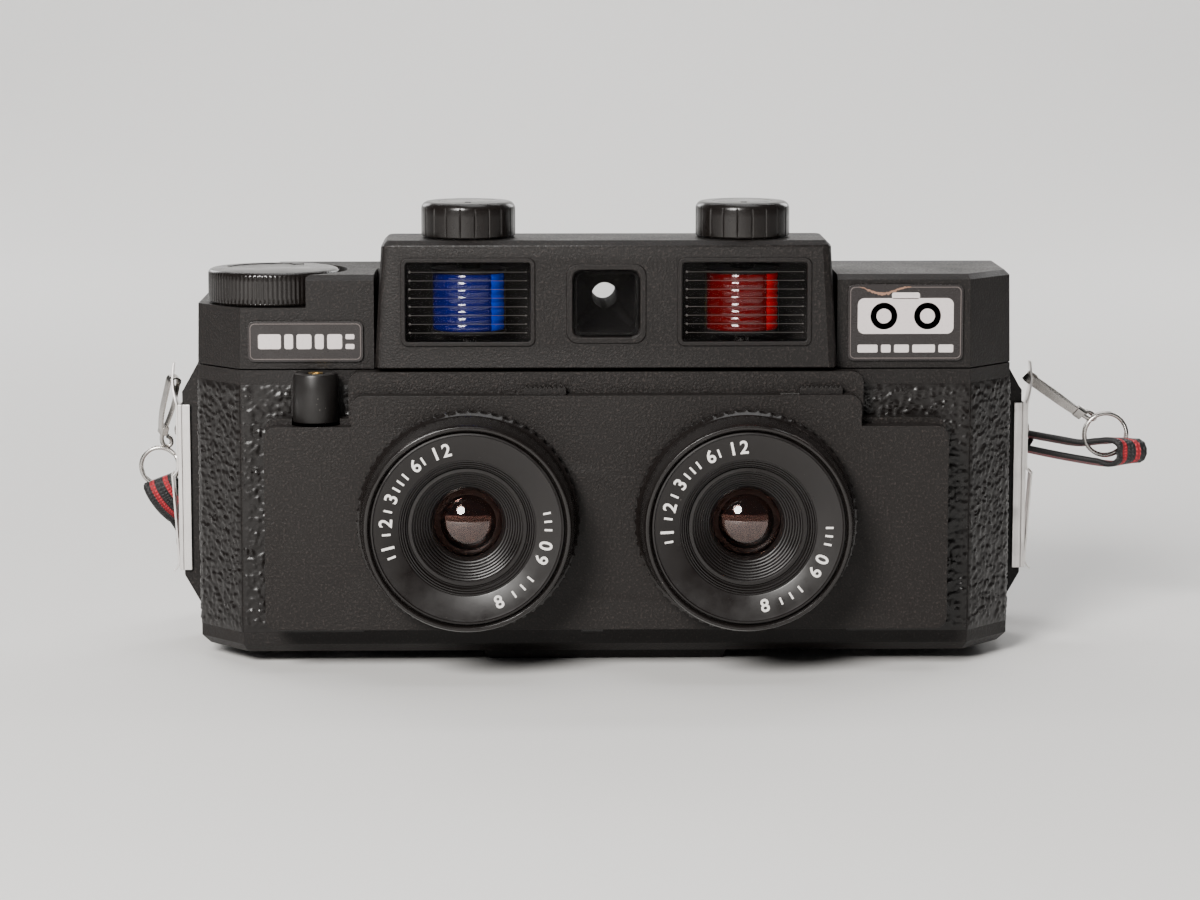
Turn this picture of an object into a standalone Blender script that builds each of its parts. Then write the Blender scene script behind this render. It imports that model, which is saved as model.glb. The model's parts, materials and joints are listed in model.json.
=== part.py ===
"""Twin-lens stereo camera for 120 roll film, with flash filters and a neck strap.

World axes: +X to the viewer's right when facing the lenses, +Y from the lenses to the back,
+Z up.  The origin is the centre of the tripod foot's underside.  Dimensions below are in
millimetres and become metres when a mesh is made.
"""

import math

import bmesh
import bpy
from mathutils import Matrix, Vector

MM = 0.001
GAP = 0.3               # clearance between neighbouring pieces
SIDES = (("left", -1), ("right", 1))

# driving dimensions
LENS_X = 31.5           # half the stereo base
LENS_Z = 36.0
BODY_X = 94.6           # half width of the body's sides
FRONT_X = 83.9          # half width of the flat front
FRONT_Y = -22.0
CHAMFER_Y = -9.6        # where the front chamfer meets the sides
BODY_LOW = 2.9
SEAM_Z = 69.1           # top cover meets body
FLANGE_X = 100.8
FLANGE_Y = 14.2
REAR_Y = 16.2           # rear face of the body
BACK_Y = 27.0           # rear face of the back cover
WALL = 2.0
COVER_TOP = 90.6
LOW_CORNER_Z = 83.1     # lowered corner of the cover under the winder knob
WINDER = (-77.0, -6.0)
WINDER_R = 15.3
SUPPLY_X = 77.0
HUMP_TOP = 98.9
HUMP_LOW = 69.7
HUMP_FRONT = -27.6
HUMP_REAR = -4.6
HUMP_X_LOW = 52.8
HUMP_X_TOP = 51.2
FLASH_Y = -16.1         # axis of the filter drums
FINDER_Z = 84.5
PANEL_FRONT = -33.0
PANEL_REAR = -27.9
BASE_FRONT = -27.6
BASE_REAR = -22.3
PANEL_X = 77.9
PANEL_LOW = 10.2
PANEL_SHOULDER = 57.0
PANEL_TOP = 64.1
PANEL_CORNER = 2.5
LENS_FRONT = -49.0
BUTTON = (-66.3, -26.7)
BUTTON_R = 5.3
BUTTON_TRAVEL = 4.0
BUTTON_LOW = 57.7
BUTTON_TOP = 68.9
BUTTON_FLOOR = BUTTON_LOW - BUTTON_TRAVEL - GAP
SPRING_LOW = 44.0
SOCKET_R = 1.9          # bore for the cable release
DECK_Z = 73.5           # raised deck over the two film chambers
SPOOL_R = 12.4
WINDOW = 56.0           # film frame
RING_RIGHT = (121.9, 19.0, 48.0, 5.1)   # centre and radius of each split ring
RING_LEFT = (-107.2, 22.0, 40.4, 4.5)
HANK_Y = 60.0           # centre line of the folded strap
HANK_LOW = 1.3
HANK_TOP = 9.3
CLIP_LOW = 16.3
CLIP_TOP = 56.4
TRIPOD_R = 5.0          # outside of the tripod bush
FOOT_X = 29.0
FOOT_Y = 15.0
BACK_FLANGE_Y = 18.7
COUNTER = (45.0, 36.0)  # frame-counter window in the back (x, z)
COUNTER_R = 5.0
COUNTER_H = 10.0
FLASH_SWITCH = (62.0, 80.0)
BULB_SWITCH_X = 0.0
SLOT_X = 6.0            # half length of both switches' slots
FINDER_TUBE_R = 4.4
FINDER_HALF = 7.6
FLASH_WIDE = 28.8
FLASH_LOW = 75.7
FLASH_TOP = 94.1
SLEEVE_R = 20.8         # outside of the panel's lens sleeves
BLADE_ARM = 15.0
LUG_Y = 16.4
LUG_HOLE_Z = 62.0
STRAP_TUBE_R = 2.6
CLIP_CLEAR_X = 104.0     # outside this the strap moves with its clip
HANK_SIZE = (70.0, 20.0)


# ---------------------------------------------------------------- materials and meshes

def material(name, colour, roughness=0.5, metallic=0.0, transmission=0.0):
    mat = bpy.data.materials.new(name)
    mat.use_nodes = True
    shader = mat.node_tree.nodes["Principled BSDF"]
    shader.inputs["Base Color"].default_value = (*colour, 1.0)
    shader.inputs["Roughness"].default_value = roughness
    shader.inputs["Metallic"].default_value = metallic
    shader.inputs["Transmission Weight"].default_value = transmission
    mat.diffuse_color = (*colour, 1.0)
    return mat


def add_object(name, bm, mat, smooth_deg=35):
    """Turn a bmesh in millimetres into a named object in metres."""
    bmesh.ops.scale(bm, vec=(MM, MM, MM), verts=bm.verts)
    bmesh.ops.recalc_face_normals(bm, faces=bm.faces)
    mesh = bpy.data.meshes.new(name)
    bm.to_mesh(mesh)
    bm.free()
    mesh.shade_smooth()
    mesh.set_sharp_from_angle(angle=math.radians(smooth_deg))
    mesh.materials.append(mat)
    obj = bpy.data.objects.new(name, mesh)
    bpy.context.collection.objects.link(obj)
    return obj


def pivot(obj, point):
    """Put an object's origin at a point in millimetres without moving its shape."""
    offset = Vector(point) * MM
    obj.data.transform(Matrix.Translation(-offset))
    obj.location = offset
    return obj


def cutter(bm):
    """A guide object that only takes part in Booleans."""
    obj = add_object("cutter", bm, BLACK)
    obj.hide_render = True
    obj.display_type = "WIRE"
    return obj


def boolean(obj, tool_bm, operation="DIFFERENCE"):
    mod = obj.modifiers.new(operation.lower(), "BOOLEAN")
    mod.operation = operation
    mod.solver = "EXACT"
    mod.object = cutter(tool_bm)


def loft(rings):
    """A closed solid through rings of 3-D points, capped at both ends."""
    bm = bmesh.new()
    loops = [[bm.verts.new(p) for p in ring] for ring in rings]
    count = len(loops[0])
    for low, high in zip(loops, loops[1:]):
        for i in range(count):
            j = (i + 1) % count
            bm.faces.new((low[i], low[j], high[j], high[i]))
    bm.faces.new(list(reversed(loops[0])))
    bm.faces.new(loops[-1])
    return bm


def prism(outline, low, high, axis="Z"):
    """Extrude a 2-D outline: (x, y) along Z, (x, z) along Y, or (y, z) along X."""
    place = {
        "Z": lambda p, t: (p[0], p[1], t),
        "Y": lambda p, t: (p[0], t, p[1]),
        "X": lambda p, t: (t, p[0], p[1]),
    }[axis]
    return loft([[place(p, t) for p in outline] for t in (low, high)])


def box(low, high):
    (x0, y0, z0), (x1, y1, z1) = low, high
    return prism([(x0, y0), (x1, y0), (x1, y1), (x0, y1)], z0, z1)


def rounded(x0, y0, x1, y1, radius, steps=3):
    """Outline of a rectangle with round corners; radius may be one value or four,
    starting at the (x1, y1) corner and going round through (x0, y1)."""
    radii = radius if isinstance(radius, tuple) else (radius,) * 4
    corners = ((x1, y1, -1, -1, 0), (x0, y1, 1, -1, 90), (x0, y0, 1, 1, 180), (x1, y0, -1, 1, 270))
    points = []
    for (cx, cy, sx, sy, start), r in zip(corners, radii):
        if r <= 0:
            points.append((cx, cy))
            continue
        for i in range(steps + 1):
            a = math.radians(start + 90 * i / steps)
            points.append((cx + sx * r + r * math.cos(a), cy + sy * r + r * math.sin(a)))
    return points


def turned(profile, centre, axis="Z", steps=32):
    """Revolve a closed (radius, height) profile; a radius of 0 closes on the axis."""
    bm = bmesh.new()
    cx, cy, cz = centre

    def place(r, h, a):
        u = r * math.cos(a)
        v = r * math.sin(a)
        if axis == "Z":
            return (cx + u, cy + v, cz + h)
        if axis == "Y":
            return (cx + u, cy + h, cz + v)
        return (cx + h, cy + u, cz + v)

    columns = []
    for i in range(steps):
        a = 2 * math.pi * i / steps
        columns.append([bm.verts.new(place(r, h, a)) if r > 0 else None for r, h in profile])
    poles = [None if r > 0 else bm.verts.new(place(0, h, 0)) for r, h in profile]
    count = len(profile)
    for i in range(steps):
        left, right = columns[i], columns[(i + 1) % steps]
        for k in range(count):
            m = (k + 1) % count
            a, b = left[k] or poles[k], left[m] or poles[m]
            c, d = right[m] or poles[m], right[k] or poles[k]
            corners = []
            for v in (a, b, c, d):
                if v not in corners:
                    corners.append(v)
            if len(corners) > 2:
                bm.faces.new(corners)
    return bm


def disc(radius, low, high, centre, axis="Z", steps=32):
    return turned([(0, low), (radius, low), (radius, high), (0, high)], centre, axis, steps)


def ring(inner, outer, low, high, centre, axis="Z", steps=32):
    profile = [(inner, low), (outer, low), (outer, high), (inner, high)]
    return turned(profile, centre, axis, steps)


def gear_ring(inner, root, tip, teeth, low, high, centre):
    """A tube along Y whose outside has square ribs, like a knurled grip."""
    bm = bmesh.new()
    count = teeth * 4
    cx, cy, cz = centre
    loops = []
    for valley, crest, h in ((inner, inner, low), (root, tip, low), (root, tip, high), (inner, inner, high)):
        verts = []
        for i in range(count):
            a = 2 * math.pi * i / count
            r = crest if i % 4 < 2 else valley
            u, v = r * math.cos(a), r * math.sin(a)
            verts.append(bm.verts.new((cx + u, cy + h, cz + v)))
        loops.append(verts)
    for a, b in zip(loops, loops[1:] + loops[:1]):
        for i in range(count):
            j = (i + 1) % count
            bm.faces.new((a[i], a[j], b[j], b[i]))
    return bm


def smooth_route(points, spacing):
    """Even points along a Catmull-Rom curve through the given points."""
    pts = [Vector(p) for p in points]
    ext = [pts[0] * 2 - pts[1]] + pts + [pts[-1] * 2 - pts[-2]]
    fine = []
    for p0, p1, p2, p3 in zip(ext, ext[1:], ext[2:], ext[3:]):
        for k in range(20):
            t = k / 20
            fine.append(0.5 * (2 * p1 + (p2 - p0) * t + (2 * p0 - 5 * p1 + 4 * p2 - p3) * t * t
                               + (3 * p1 - p0 - 3 * p2 + p3) * t ** 3))
    fine.append(pts[-1])
    total = sum((b - a).length for a, b in zip(fine, fine[1:]))
    count = max(3, round(total / spacing))
    out = [fine[0]]
    run = 0.0
    for a, b in zip(fine, fine[1:]):
        step = (b - a).length
        while len(out) < count and run + step >= len(out) * total / count:
            t = (len(out) * total / count - run) / step
            out.append(a.lerp(b, t))
        run += step
    return out + [fine[-1]]


def tube(name, points, radius, mat, resolution=2, cyclic=False):
    curve = bpy.data.curves.new(name, "CURVE")
    curve.dimensions = "3D"
    curve.bevel_depth = radius * MM
    curve.bevel_resolution = resolution
    curve.use_fill_caps = not cyclic
    spline = curve.splines.new("POLY")
    spline.points.add(len(points) - 1)
    for point, p in zip(spline.points, points):
        point.co = (p[0] * MM, p[1] * MM, p[2] * MM, 1)
    spline.use_cyclic_u = cyclic
    curve.materials.append(mat)
    obj = bpy.data.objects.new(name, curve)
    bpy.context.collection.objects.link(obj)
    return obj


# ---------------------------------------------------------------- casing

def plan(inset=0.0, rear=REAR_Y):
    """Plan outline of the casing with chamfered front corners, drawn in by inset."""
    slant = 0.42 * inset
    right = [
        (FRONT_X - slant, FRONT_Y + inset),
        (BODY_X - inset, CHAMFER_Y + slant),
        (BODY_X - inset, rear),
    ]
    return right + [(-x, y) for x, y in reversed(right)]


def end_block(side, inset, rear, inner_x):
    """The part of the plan outline beyond inner_x on one side."""
    right = plan(inset, rear)[:3]
    right = [(inner_x, FRONT_Y + inset)] + right + [(inner_x, rear)]
    return [(side * x, y) for x, y in right]


def flange_outline(top):
    """Front view of the side flanges that the clips slide on."""
    inner = BODY_X - 1.5
    right = [(inner, 4.0), (BODY_X, 4.0), (FLANGE_X, 15.0), (FLANGE_X, 59.5), (BODY_X, top), (inner, top)]
    return right + [(-x, z) for x, z in reversed(right)]


def body_shell():
    low = [(x, y, BODY_LOW) for x, y in plan(2.0)]
    mid = [(x, y, BODY_LOW + 2.0) for x, y in plan()]
    high = [(x, y, SEAM_Z - GAP) for x, y in plan()]
    obj = add_object("body_shell", loft([low, mid, high]), LEATHER)
    boolean(obj, prism(flange_outline(SEAM_Z - 1), FLANGE_Y, REAR_Y - 0.1, "Y"), "UNION")
    for _, side in SIDES:
        deck = end_block(side, WALL + GAP, REAR_Y - WALL - GAP, 57.0)
        boolean(obj, prism(deck, SEAM_Z - 2, DECK_Z), "UNION")
    boolean(obj, prism(plan(WALL, rear=REAR_Y + 3), BODY_LOW + WALL, SEAM_Z - GAP - WALL))
    for _, side in SIDES:
        chamber = end_block(side, WALL + GAP + 1.0, REAR_Y - WALL - GAP - 1.0, 59.0)
        boolean(obj, prism(chamber, SEAM_Z - 5, DECK_Z - WALL))
        boolean(obj, disc(16, -4, 4, (side * LENS_X, FRONT_Y, LENS_Z), "Y", 24))
    boolean(obj, disc(5, -4, 4, (*WINDER, DECK_Z), "Z", 16))
    boolean(obj, disc(TRIPOD_R + GAP, -3, 3, (0, 0, BODY_LOW + 1), "Z", 16))
    boolean(obj, disc(BUTTON_R + GAP, BUTTON_FLOOR - SEAM_Z, 5, (*BUTTON, SEAM_Z), "Z", 24))


def top_cover():
    taper = 0.996
    rings = [
        [(x, y, SEAM_Z) for x, y in plan()],
        [(x * taper, y * taper, COVER_TOP - 1.2) for x, y in plan()],
        [(x, y, COVER_TOP) for x, y in plan(1.6, rear=REAR_Y - 1.4)],
    ]
    obj = add_object("top_cover", loft(rings), BLACK)
    wx, wy = WINDER
    reach = 8.3
    bay = WINDER_R + 1.9
    start = -math.degrees(math.acos(reach / bay))
    low_corner = [(-110, -30), (wx + reach, -30)]
    for i in range(17):
        a = math.radians(start + (90 - start) * i / 16)
        low_corner.append((wx + bay * math.cos(a), wy + bay * math.sin(a)))
    low_corner += [(wx, 30), (-110, 30)]
    boolean(obj, prism(low_corner, LOW_CORNER_Z, 100))
    notch_x = HUMP_X_LOW + GAP
    boolean(obj, box((-notch_x, FRONT_Y - 3, SEAM_Z - 3), (notch_x, HUMP_REAR + GAP, 100)))
    low_room = end_block(-1, WALL, REAR_Y - WALL, notch_x + WALL)
    boolean(obj, prism(low_room, SEAM_Z - 2, LOW_CORNER_Z - WALL))
    high_room = end_block(1, WALL, REAR_Y - WALL, notch_x + WALL)
    boolean(obj, prism(high_room, SEAM_Z - 2.1, COVER_TOP - WALL))
    middle_low = (-notch_x - 3, HUMP_REAR + GAP + WALL, SEAM_Z - 2.2)
    middle_high = (notch_x + 3, REAR_Y - WALL - 0.1, COVER_TOP - WALL - 0.1)
    boolean(obj, box(middle_low, middle_high))
    boolean(obj, disc(FINDER_TUBE_R + GAP, -40, 40, (0, 0, FINDER_Z), "Y", 24))
    boolean(obj, disc(5, -4, 4, (wx, wy, LOW_CORNER_Z), "Z", 16))
    sx, sz = FLASH_SWITCH
    boolean(obj, box((sx - SLOT_X, REAR_Y - 3, sz - 1.3), (sx + SLOT_X, REAR_Y + 2, sz + 1.3)))


def back_cover():
    top = SEAM_Z + 1.7
    half = [(BODY_X, REAR_Y + GAP), (BODY_X, BACK_Y - 7), (BODY_X - 8, BACK_Y)]
    outline = half + [(-x, y) for x, y in reversed(half)]
    inner_half = [(BODY_X - WALL, REAR_Y - 1), (BODY_X - WALL, BACK_Y - 7.8), (BODY_X - 9, BACK_Y - WALL)]
    inner = inner_half + [(-x, y) for x, y in reversed(inner_half)]
    obj = add_object("back_cover", prism(outline, BODY_LOW, top), LEATHER)
    boolean(obj, prism(flange_outline(top - 0.1), REAR_Y + GAP + 0.1, BACK_FLANGE_Y, "Y"), "UNION")
    for z in (COUNTER[1] - COUNTER_H / 2 - 1.3, COUNTER[1] + COUNTER_H / 2 + 0.3):
        boolean(obj, box((COUNTER[0] - 12, BACK_Y - 1, z), (COUNTER[0] + 12, BACK_Y + 1.5, z + 1.0)), "UNION")
    boolean(obj, prism(inner, BODY_LOW + WALL, top - WALL))
    boolean(obj, disc(COUNTER_R, -8, 8, (COUNTER[0], BACK_Y, COUNTER[1]), "Y", 24))


def counter_pieces():
    pane = disc(COUNTER_R - GAP, -WALL, -0.3, (COUNTER[0], BACK_Y, COUNTER[1]), "Y", 24)
    add_object("counter_window", pane, RED)
    x, z = COUNTER
    low = (x - 10.5, BACK_Y + GAP, z - COUNTER_H / 2)
    high = (x + 1.5, BACK_Y + 1.3, z + COUNTER_H / 2)
    obj = add_object("counter_slider", box(low, high), BLACK)
    boolean(obj, box((x - 7.5, BACK_Y + 1, z - 2.5), (x - 5.5, BACK_Y + 2.6, z + 2.5)), "UNION")
    boolean(obj, disc(COUNTER_R - 2, -3, 6, (x - 3.5, BACK_Y, z), "Y", 16))


def film_gate():
    """Plate at the film with one light cone behind each lens."""
    plate_y = 12.0
    obj = add_object("film_gate", box((-62, plate_y, 5.3), (62, plate_y + WALL, 66.4)), DARK)
    front = 19.0
    rear = WINDOW / 2

    def cone(x, wall, y_low, y_high):
        def square(half, y):
            r = half + wall
            return [(x + sx * r, y, LENS_Z + sz * r) for sx, sz in ((-1, -1), (1, -1), (1, 1), (-1, 1))]
        return loft([square(front, y_low), square(rear, y_high)])

    for _, side in SIDES:
        boolean(obj, cone(side * LENS_X, 1.5, FRONT_Y + WALL + GAP, plate_y + WALL - 0.2), "UNION")
    for _, side in SIDES:
        boolean(obj, cone(side * LENS_X, 0.0, FRONT_Y + WALL - 1, plate_y + WALL + 1))


def spool(name, x):
    """A 120 film spool: two flanges on a slotted core."""
    low = BODY_LOW + WALL + 0.7
    length = 65.0
    core = 5.8
    profile = [
        (0, low), (SPOOL_R, low), (SPOOL_R, low + 1), (core, low + 1), (core, low + length - 1),
        (SPOOL_R, low + length - 1), (SPOOL_R, low + length), (0, low + length),
    ]
    obj = add_object(name, turned(profile, (x, WINDER[1], 0), "Z", 24), DARK)
    boolean(obj, box((x - 1, WINDER[1] - 4, low + length - 3), (x + 1, WINDER[1] + 4, low + length + 2)))
    pivot(obj, (x, WINDER[1], low))


def winder_knob():
    wx, wy = WINDER
    rim = COVER_TOP + 0.4
    profile = [
        (0, 70.9), (4.6, 70.9), (4.6, LOW_CORNER_Z + GAP), (WINDER_R, LOW_CORNER_Z + GAP),
        (WINDER_R, rim - 0.8), (WINDER_R - 0.8, rim), (0, rim),
    ]
    obj = add_object("winder_knob", turned(profile, (wx, wy, 0), "Z", 36), GLOSS)
    pivot(obj, (wx, wy, LOW_CORNER_Z))


# ---------------------------------------------------------------- front panels

def stepped_outline(low_x, top_x, low, shoulder, top):
    """Wide lower part with a narrower raised middle; outer corners rounded."""
    wide = rounded(-low_x, low, low_x, shoulder, PANEL_CORNER)
    split = 4           # points of one rounded corner
    crown = rounded(-top_x, low, top_x, top, PANEL_CORNER)[:2 * split]
    return wide[:split] + [(top_x, shoulder)] + crown + [(-top_x, shoulder)] + wide[split:]


def button_well():
    """Stepped bore for the button and, below it, its spring."""
    wide = BUTTON_R + GAP
    narrow = 3.4
    profile = [
        (0, SPRING_LOW), (narrow, SPRING_LOW), (narrow, BUTTON_FLOOR),
        (wide, BUTTON_FLOOR), (wide, 80.0), (0, 80.0),
    ]
    return turned(profile, (*BUTTON, 0), "Z", 24)


def shutter_base():
    outline = stepped_outline(PANEL_X, 58.8, PANEL_LOW, PANEL_SHOULDER + 1.3, SEAM_Z - 0.2)
    obj = add_object("shutter_base", prism(outline, BASE_FRONT, BASE_REAR, "Y"), BLACK)
    for _, side in SIDES:
        x = side * LENS_X
        boolean(obj, disc(19.6, -5, 2.9, (x, BASE_FRONT, LENS_Z), "Y", 32))
        boolean(obj, disc(5.5, -5, 10, (x, BASE_FRONT, LENS_Z), "Y", 24))
        pin = disc(1.0, 0.3, 3.4, (x + BLADE_ARM, BASE_FRONT, LENS_Z), "Y", 12)
        boolean(obj, pin, "UNION")
    boolean(obj, button_well())
    slot_low = (BULB_SWITCH_X - SLOT_X, BASE_FRONT + 1.5, PANEL_LOW - 2)
    slot_high = (BULB_SWITCH_X + SLOT_X, BASE_REAR - 1.3, PANEL_LOW + 3)
    boolean(obj, box(slot_low, slot_high))


def lens_panel():
    outline = stepped_outline(PANEL_X, 58.0, PANEL_LOW, PANEL_SHOULDER, PANEL_TOP)
    obj = add_object("lens_panel", prism(outline, PANEL_FRONT, PANEL_REAR, "Y"), BLACK)
    for _, side in SIDES:
        x = side * LENS_X
        boolean(obj, disc(SLEEVE_R, -8, 2, (x, PANEL_FRONT, LENS_Z), "Y", 48), "UNION")
        boolean(obj, disc(SLEEVE_R - 1.4, -20, 20, (x, PANEL_FRONT, LENS_Z), "Y", 44))
        x0 = x + 8.1
        boolean(obj, box((x0, PANEL_FRONT + 1.9, 59.5), (x0 + 14.5, PANEL_REAR - 0.5, 70)))
    boolean(obj, button_well())


def aperture_slider(name, side):
    """Serrated tab that stands out of its slot in the panel's top edge."""
    x1 = side * LENS_X + 22.6 - GAP
    x0 = x1 - 9.8
    low, top = 60.2, 66.0
    teeth = 6
    pitch = (x1 - x0) / teeth
    outline = [(x1, low), (x1, top - 0.5)]
    for i in range(teeth):
        right = x1 - i * pitch
        outline += [(right - 0.3 * pitch, top), (right - 0.7 * pitch, top), (right - pitch + 0.01, top - 0.5)]
    outline += [(x0, low)]
    y0 = PANEL_FRONT + 1.9 + GAP
    add_object(name, prism(outline, y0, PANEL_REAR - 0.5 - GAP, "Y"), BLACK)


def shutter_blade(name, side):
    """A round blade that covers the light hole and swings on a pin beside it."""
    x = side * LENS_X
    y0, y1 = 1.1, 1.7
    obj = add_object(name, disc(6.5, y0, y1, (x, BASE_FRONT, LENS_Z), "Y", 24), STEEL)
    arm = box((x, BASE_FRONT + y0, LENS_Z - 2), (x + BLADE_ARM, BASE_FRONT + y1, LENS_Z + 2))
    boolean(obj, arm, "UNION")
    boolean(obj, disc(2.6, y0, y1, (x + BLADE_ARM, BASE_FRONT, LENS_Z), "Y", 16), "UNION")
    boolean(obj, disc(1.3, y0 - 1, y1 + 1, (x + BLADE_ARM, BASE_FRONT, LENS_Z), "Y", 12))
    pivot(obj, (x + BLADE_ARM, BASE_FRONT + y0, LENS_Z))


def shutter_button():
    low, top = BUTTON_LOW, BUTTON_TOP
    profile = [
        (0, low), (BUTTON_R, low), (BUTTON_R - 0.2, top - 0.7), (BUTTON_R - 0.9, top),
        (SOCKET_R, top), (SOCKET_R, top - 4), (0, top - 4),
    ]
    pivot(add_object("shutter_button", turned(profile, (*BUTTON, 0), "Z", 32), GLOSS), (*BUTTON, low))
    socket = ring(0.9, SOCKET_R - GAP, top - 3.6, top - 0.1, (*BUTTON, 0), "Z", 16)
    pivot(add_object("release_socket", socket, BRASS), (*BUTTON, low))
    turns = 4
    coil_r = 2.5
    wire_r = 0.3
    base = SPRING_LOW + 2 * wire_r
    rise = low - 2 * wire_r - base
    count = turns * 10
    helix = []
    for i in range(count + 1):
        a = 2 * math.pi * i * turns / count
        x = BUTTON[0] + coil_r * math.cos(a)
        y = BUTTON[1] + coil_r * math.sin(a)
        helix.append((x, y, base + rise * i / count))
    tube("shutter_spring", helix, wire_r, STEEL, resolution=1)


# ---------------------------------------------------------------- lenses

def focus_ring(name, side):
    """Knurled grip behind a smooth cone, with a flat front lip."""
    centre = (side * LENS_X, 0, LENS_Z)
    rear = PANEL_FRONT - 0.4
    grip_front = rear - 6.5
    bore = SLEEVE_R + GAP
    grip = gear_ring(bore, 24.6, 25.3, 24, grip_front, rear, centre)
    obj = add_object(name, grip, GLOSS)
    seat = LENS_FRONT + 1.6
    front = [
        (bore + 0.01, grip_front + 1), (bore + 0.01, seat), (22.3, seat), (22.3, LENS_FRONT),
        (23.1, LENS_FRONT), (23.5, LENS_FRONT + 0.5), (24.4, grip_front + 1),
    ]
    boolean(obj, turned(front, centre, "Y", 32), "UNION")
    pivot(obj, (side * LENS_X, rear, LENS_Z))


def lens_bezel(name, side):
    """Front ring that carries the marks, dished towards the glass."""
    centre = (side * LENS_X, LENS_FRONT, LENS_Z)
    profile = [
        (22.0, 1.3), (22.0, 0.3), (21.2, 0.3), (20.6, 1.0), (14.9, 1.0),
        (14.1, 1.6), (14.1, 2.6), (20.6, 2.6), (20.6, 1.3),
    ]
    pivot(add_object(name, turned(profile[::-1], centre, "Y", 32), GLOSS), centre)


def lens_cell(name, side):
    """Barrel that slides in the panel's sleeve, stepped down to the glass."""
    centre = (side * LENS_X, 0, LENS_Z)
    outer = SLEEVE_R - 1.4 - GAP
    rear = PANEL_REAR - 0.6
    r = 13.7
    step = 1.9
    profile = [(outer, rear), (outer, LENS_FRONT + 3.2), (r, LENS_FRONT + 3.2)]
    y = LENS_FRONT + 4.4
    while r > 9.0:
        profile += [(r, y), (r - step, y)]
        y += 1.7
        r -= step
    seat = y + 0.6
    cup = seat + 4.8
    profile += [(r, y), (7.1, seat - 0.4), (7.1, seat), (8.0, seat), (8.0, cup), (15.5, cup), (15.5, rear)]
    obj = add_object(name, turned(profile[::-1], centre, "Y", 28), GLOSS)
    pivot(obj, (side * LENS_X, LENS_FRONT, LENS_Z))
    glass_y = seat + GAP
    glass = []
    for i in range(5):
        t = i / 4
        glass.append((7.7 * t, glass_y + 1.2 * t * t))
    glass += [(7.7, glass_y + 3.2), (0, glass_y + 3.6)]
    glass_obj = add_object("lens_glass" + name[len("lens_cell"):], turned(glass, centre, "Y", 24), GLASS)
    pivot(glass_obj, (side * LENS_X, glass_y, LENS_Z))


# ---------------------------------------------------------------- flash and finder

def flash_housing():
    rings = []
    chamfer = 1.2
    levels = [(HUMP_X_LOW, HUMP_LOW, 0), (HUMP_X_TOP, HUMP_TOP - chamfer, 0)]
    levels.append((HUMP_X_TOP - chamfer, HUMP_TOP, chamfer))
    for x, z, trim in levels:
        corners = rounded(-x, HUMP_FRONT + trim, x, HUMP_REAR - trim, 2.0 - 0.5 * trim, 2)
        rings.append([(px, py, z) for px, py in corners])
    obj = add_object("flash_housing", loft(rings), BLACK)
    inner_low = (-HUMP_X_TOP + WALL + 0.4, HUMP_FRONT + WALL, HUMP_LOW - 2)
    inner_high = (HUMP_X_TOP - WALL - 0.4, HUMP_REAR - WALL, HUMP_TOP - WALL)
    boolean(obj, box(inner_low, inner_high))
    for _, side in SIDES:
        x = side * LENS_X
        window = rounded(x - FLASH_WIDE / 2, FLASH_LOW, x + FLASH_WIDE / 2, FLASH_TOP, 0.8, 2)
        boolean(obj, prism(window, HUMP_FRONT - 3, HUMP_FRONT + 3, "Y"))
        boolean(obj, disc(3.3, -6, 6, (x, FLASH_Y, HUMP_TOP), "Z", 16))
    finder = rounded(-FINDER_HALF, FINDER_Z - FINDER_HALF, FINDER_HALF, FINDER_Z + FINDER_HALF, 2.0, 2)
    boolean(obj, prism(finder, HUMP_FRONT - 3, HUMP_FRONT + 3, "Y"))
    boolean(obj, disc(FINDER_TUBE_R + GAP, -6, 6, (0, HUMP_REAR, FINDER_Z), "Y", 24))


def flash_window(name, side):
    """Clear pane with horizontal ribs on its front."""
    x = side * LENS_X
    low, top = FLASH_LOW + GAP, FLASH_TOP - GAP
    ribs = 9
    pitch = (top - low) / ribs
    front = HUMP_FRONT - 0.6
    outline = [(front + 2.2, low), (front + 2.2, top)]
    for i in range(ribs):
        z = top - i * pitch
        outline += [(front + 0.5, z - 0.02), (front, z - 0.35 * pitch), (front, z - 0.65 * pitch)]
    outline += [(front + 0.5, low)]
    half = FLASH_WIDE / 2 - GAP
    add_object(name, prism(outline[::-1], x - half, x + half, "X"), CLEAR)


def filter_drum(name, side):
    """Cage that carries the colour panes round the reflector, hung from its stub shaft."""
    low, top = 76.6, 92.0
    profile = [
        (0, top - 1.2), (7.7, top - 1.2), (7.7, low), (8.7, low), (8.7, top),
        (3.0, top), (3.0, HUMP_TOP), (0, HUMP_TOP),
    ]
    obj = add_object(name, turned(profile, (side * LENS_X, FLASH_Y, 0), "Z", 24), BLUE if side < 0 else RED)
    pivot(obj, (side * LENS_X, FLASH_Y, low))


def flash_knob(name, side):
    """Flat-topped knob with a rounded rim."""
    low, top, radius, rim = HUMP_TOP + GAP, 107.2, 10.85, 1.6
    profile = [(0, low), (radius, low), (radius, top - rim)]
    for i in range(1, 4):
        a = math.radians(30 * i)
        profile.append((radius - rim + rim * math.cos(a), top - rim + rim * math.sin(a)))
    profile.append((0, top))
    obj = add_object(name, turned(profile, (side * LENS_X, FLASH_Y, 0), "Z", 28), GLOSS)
    pivot(obj, (side * LENS_X, FLASH_Y, low))


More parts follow.
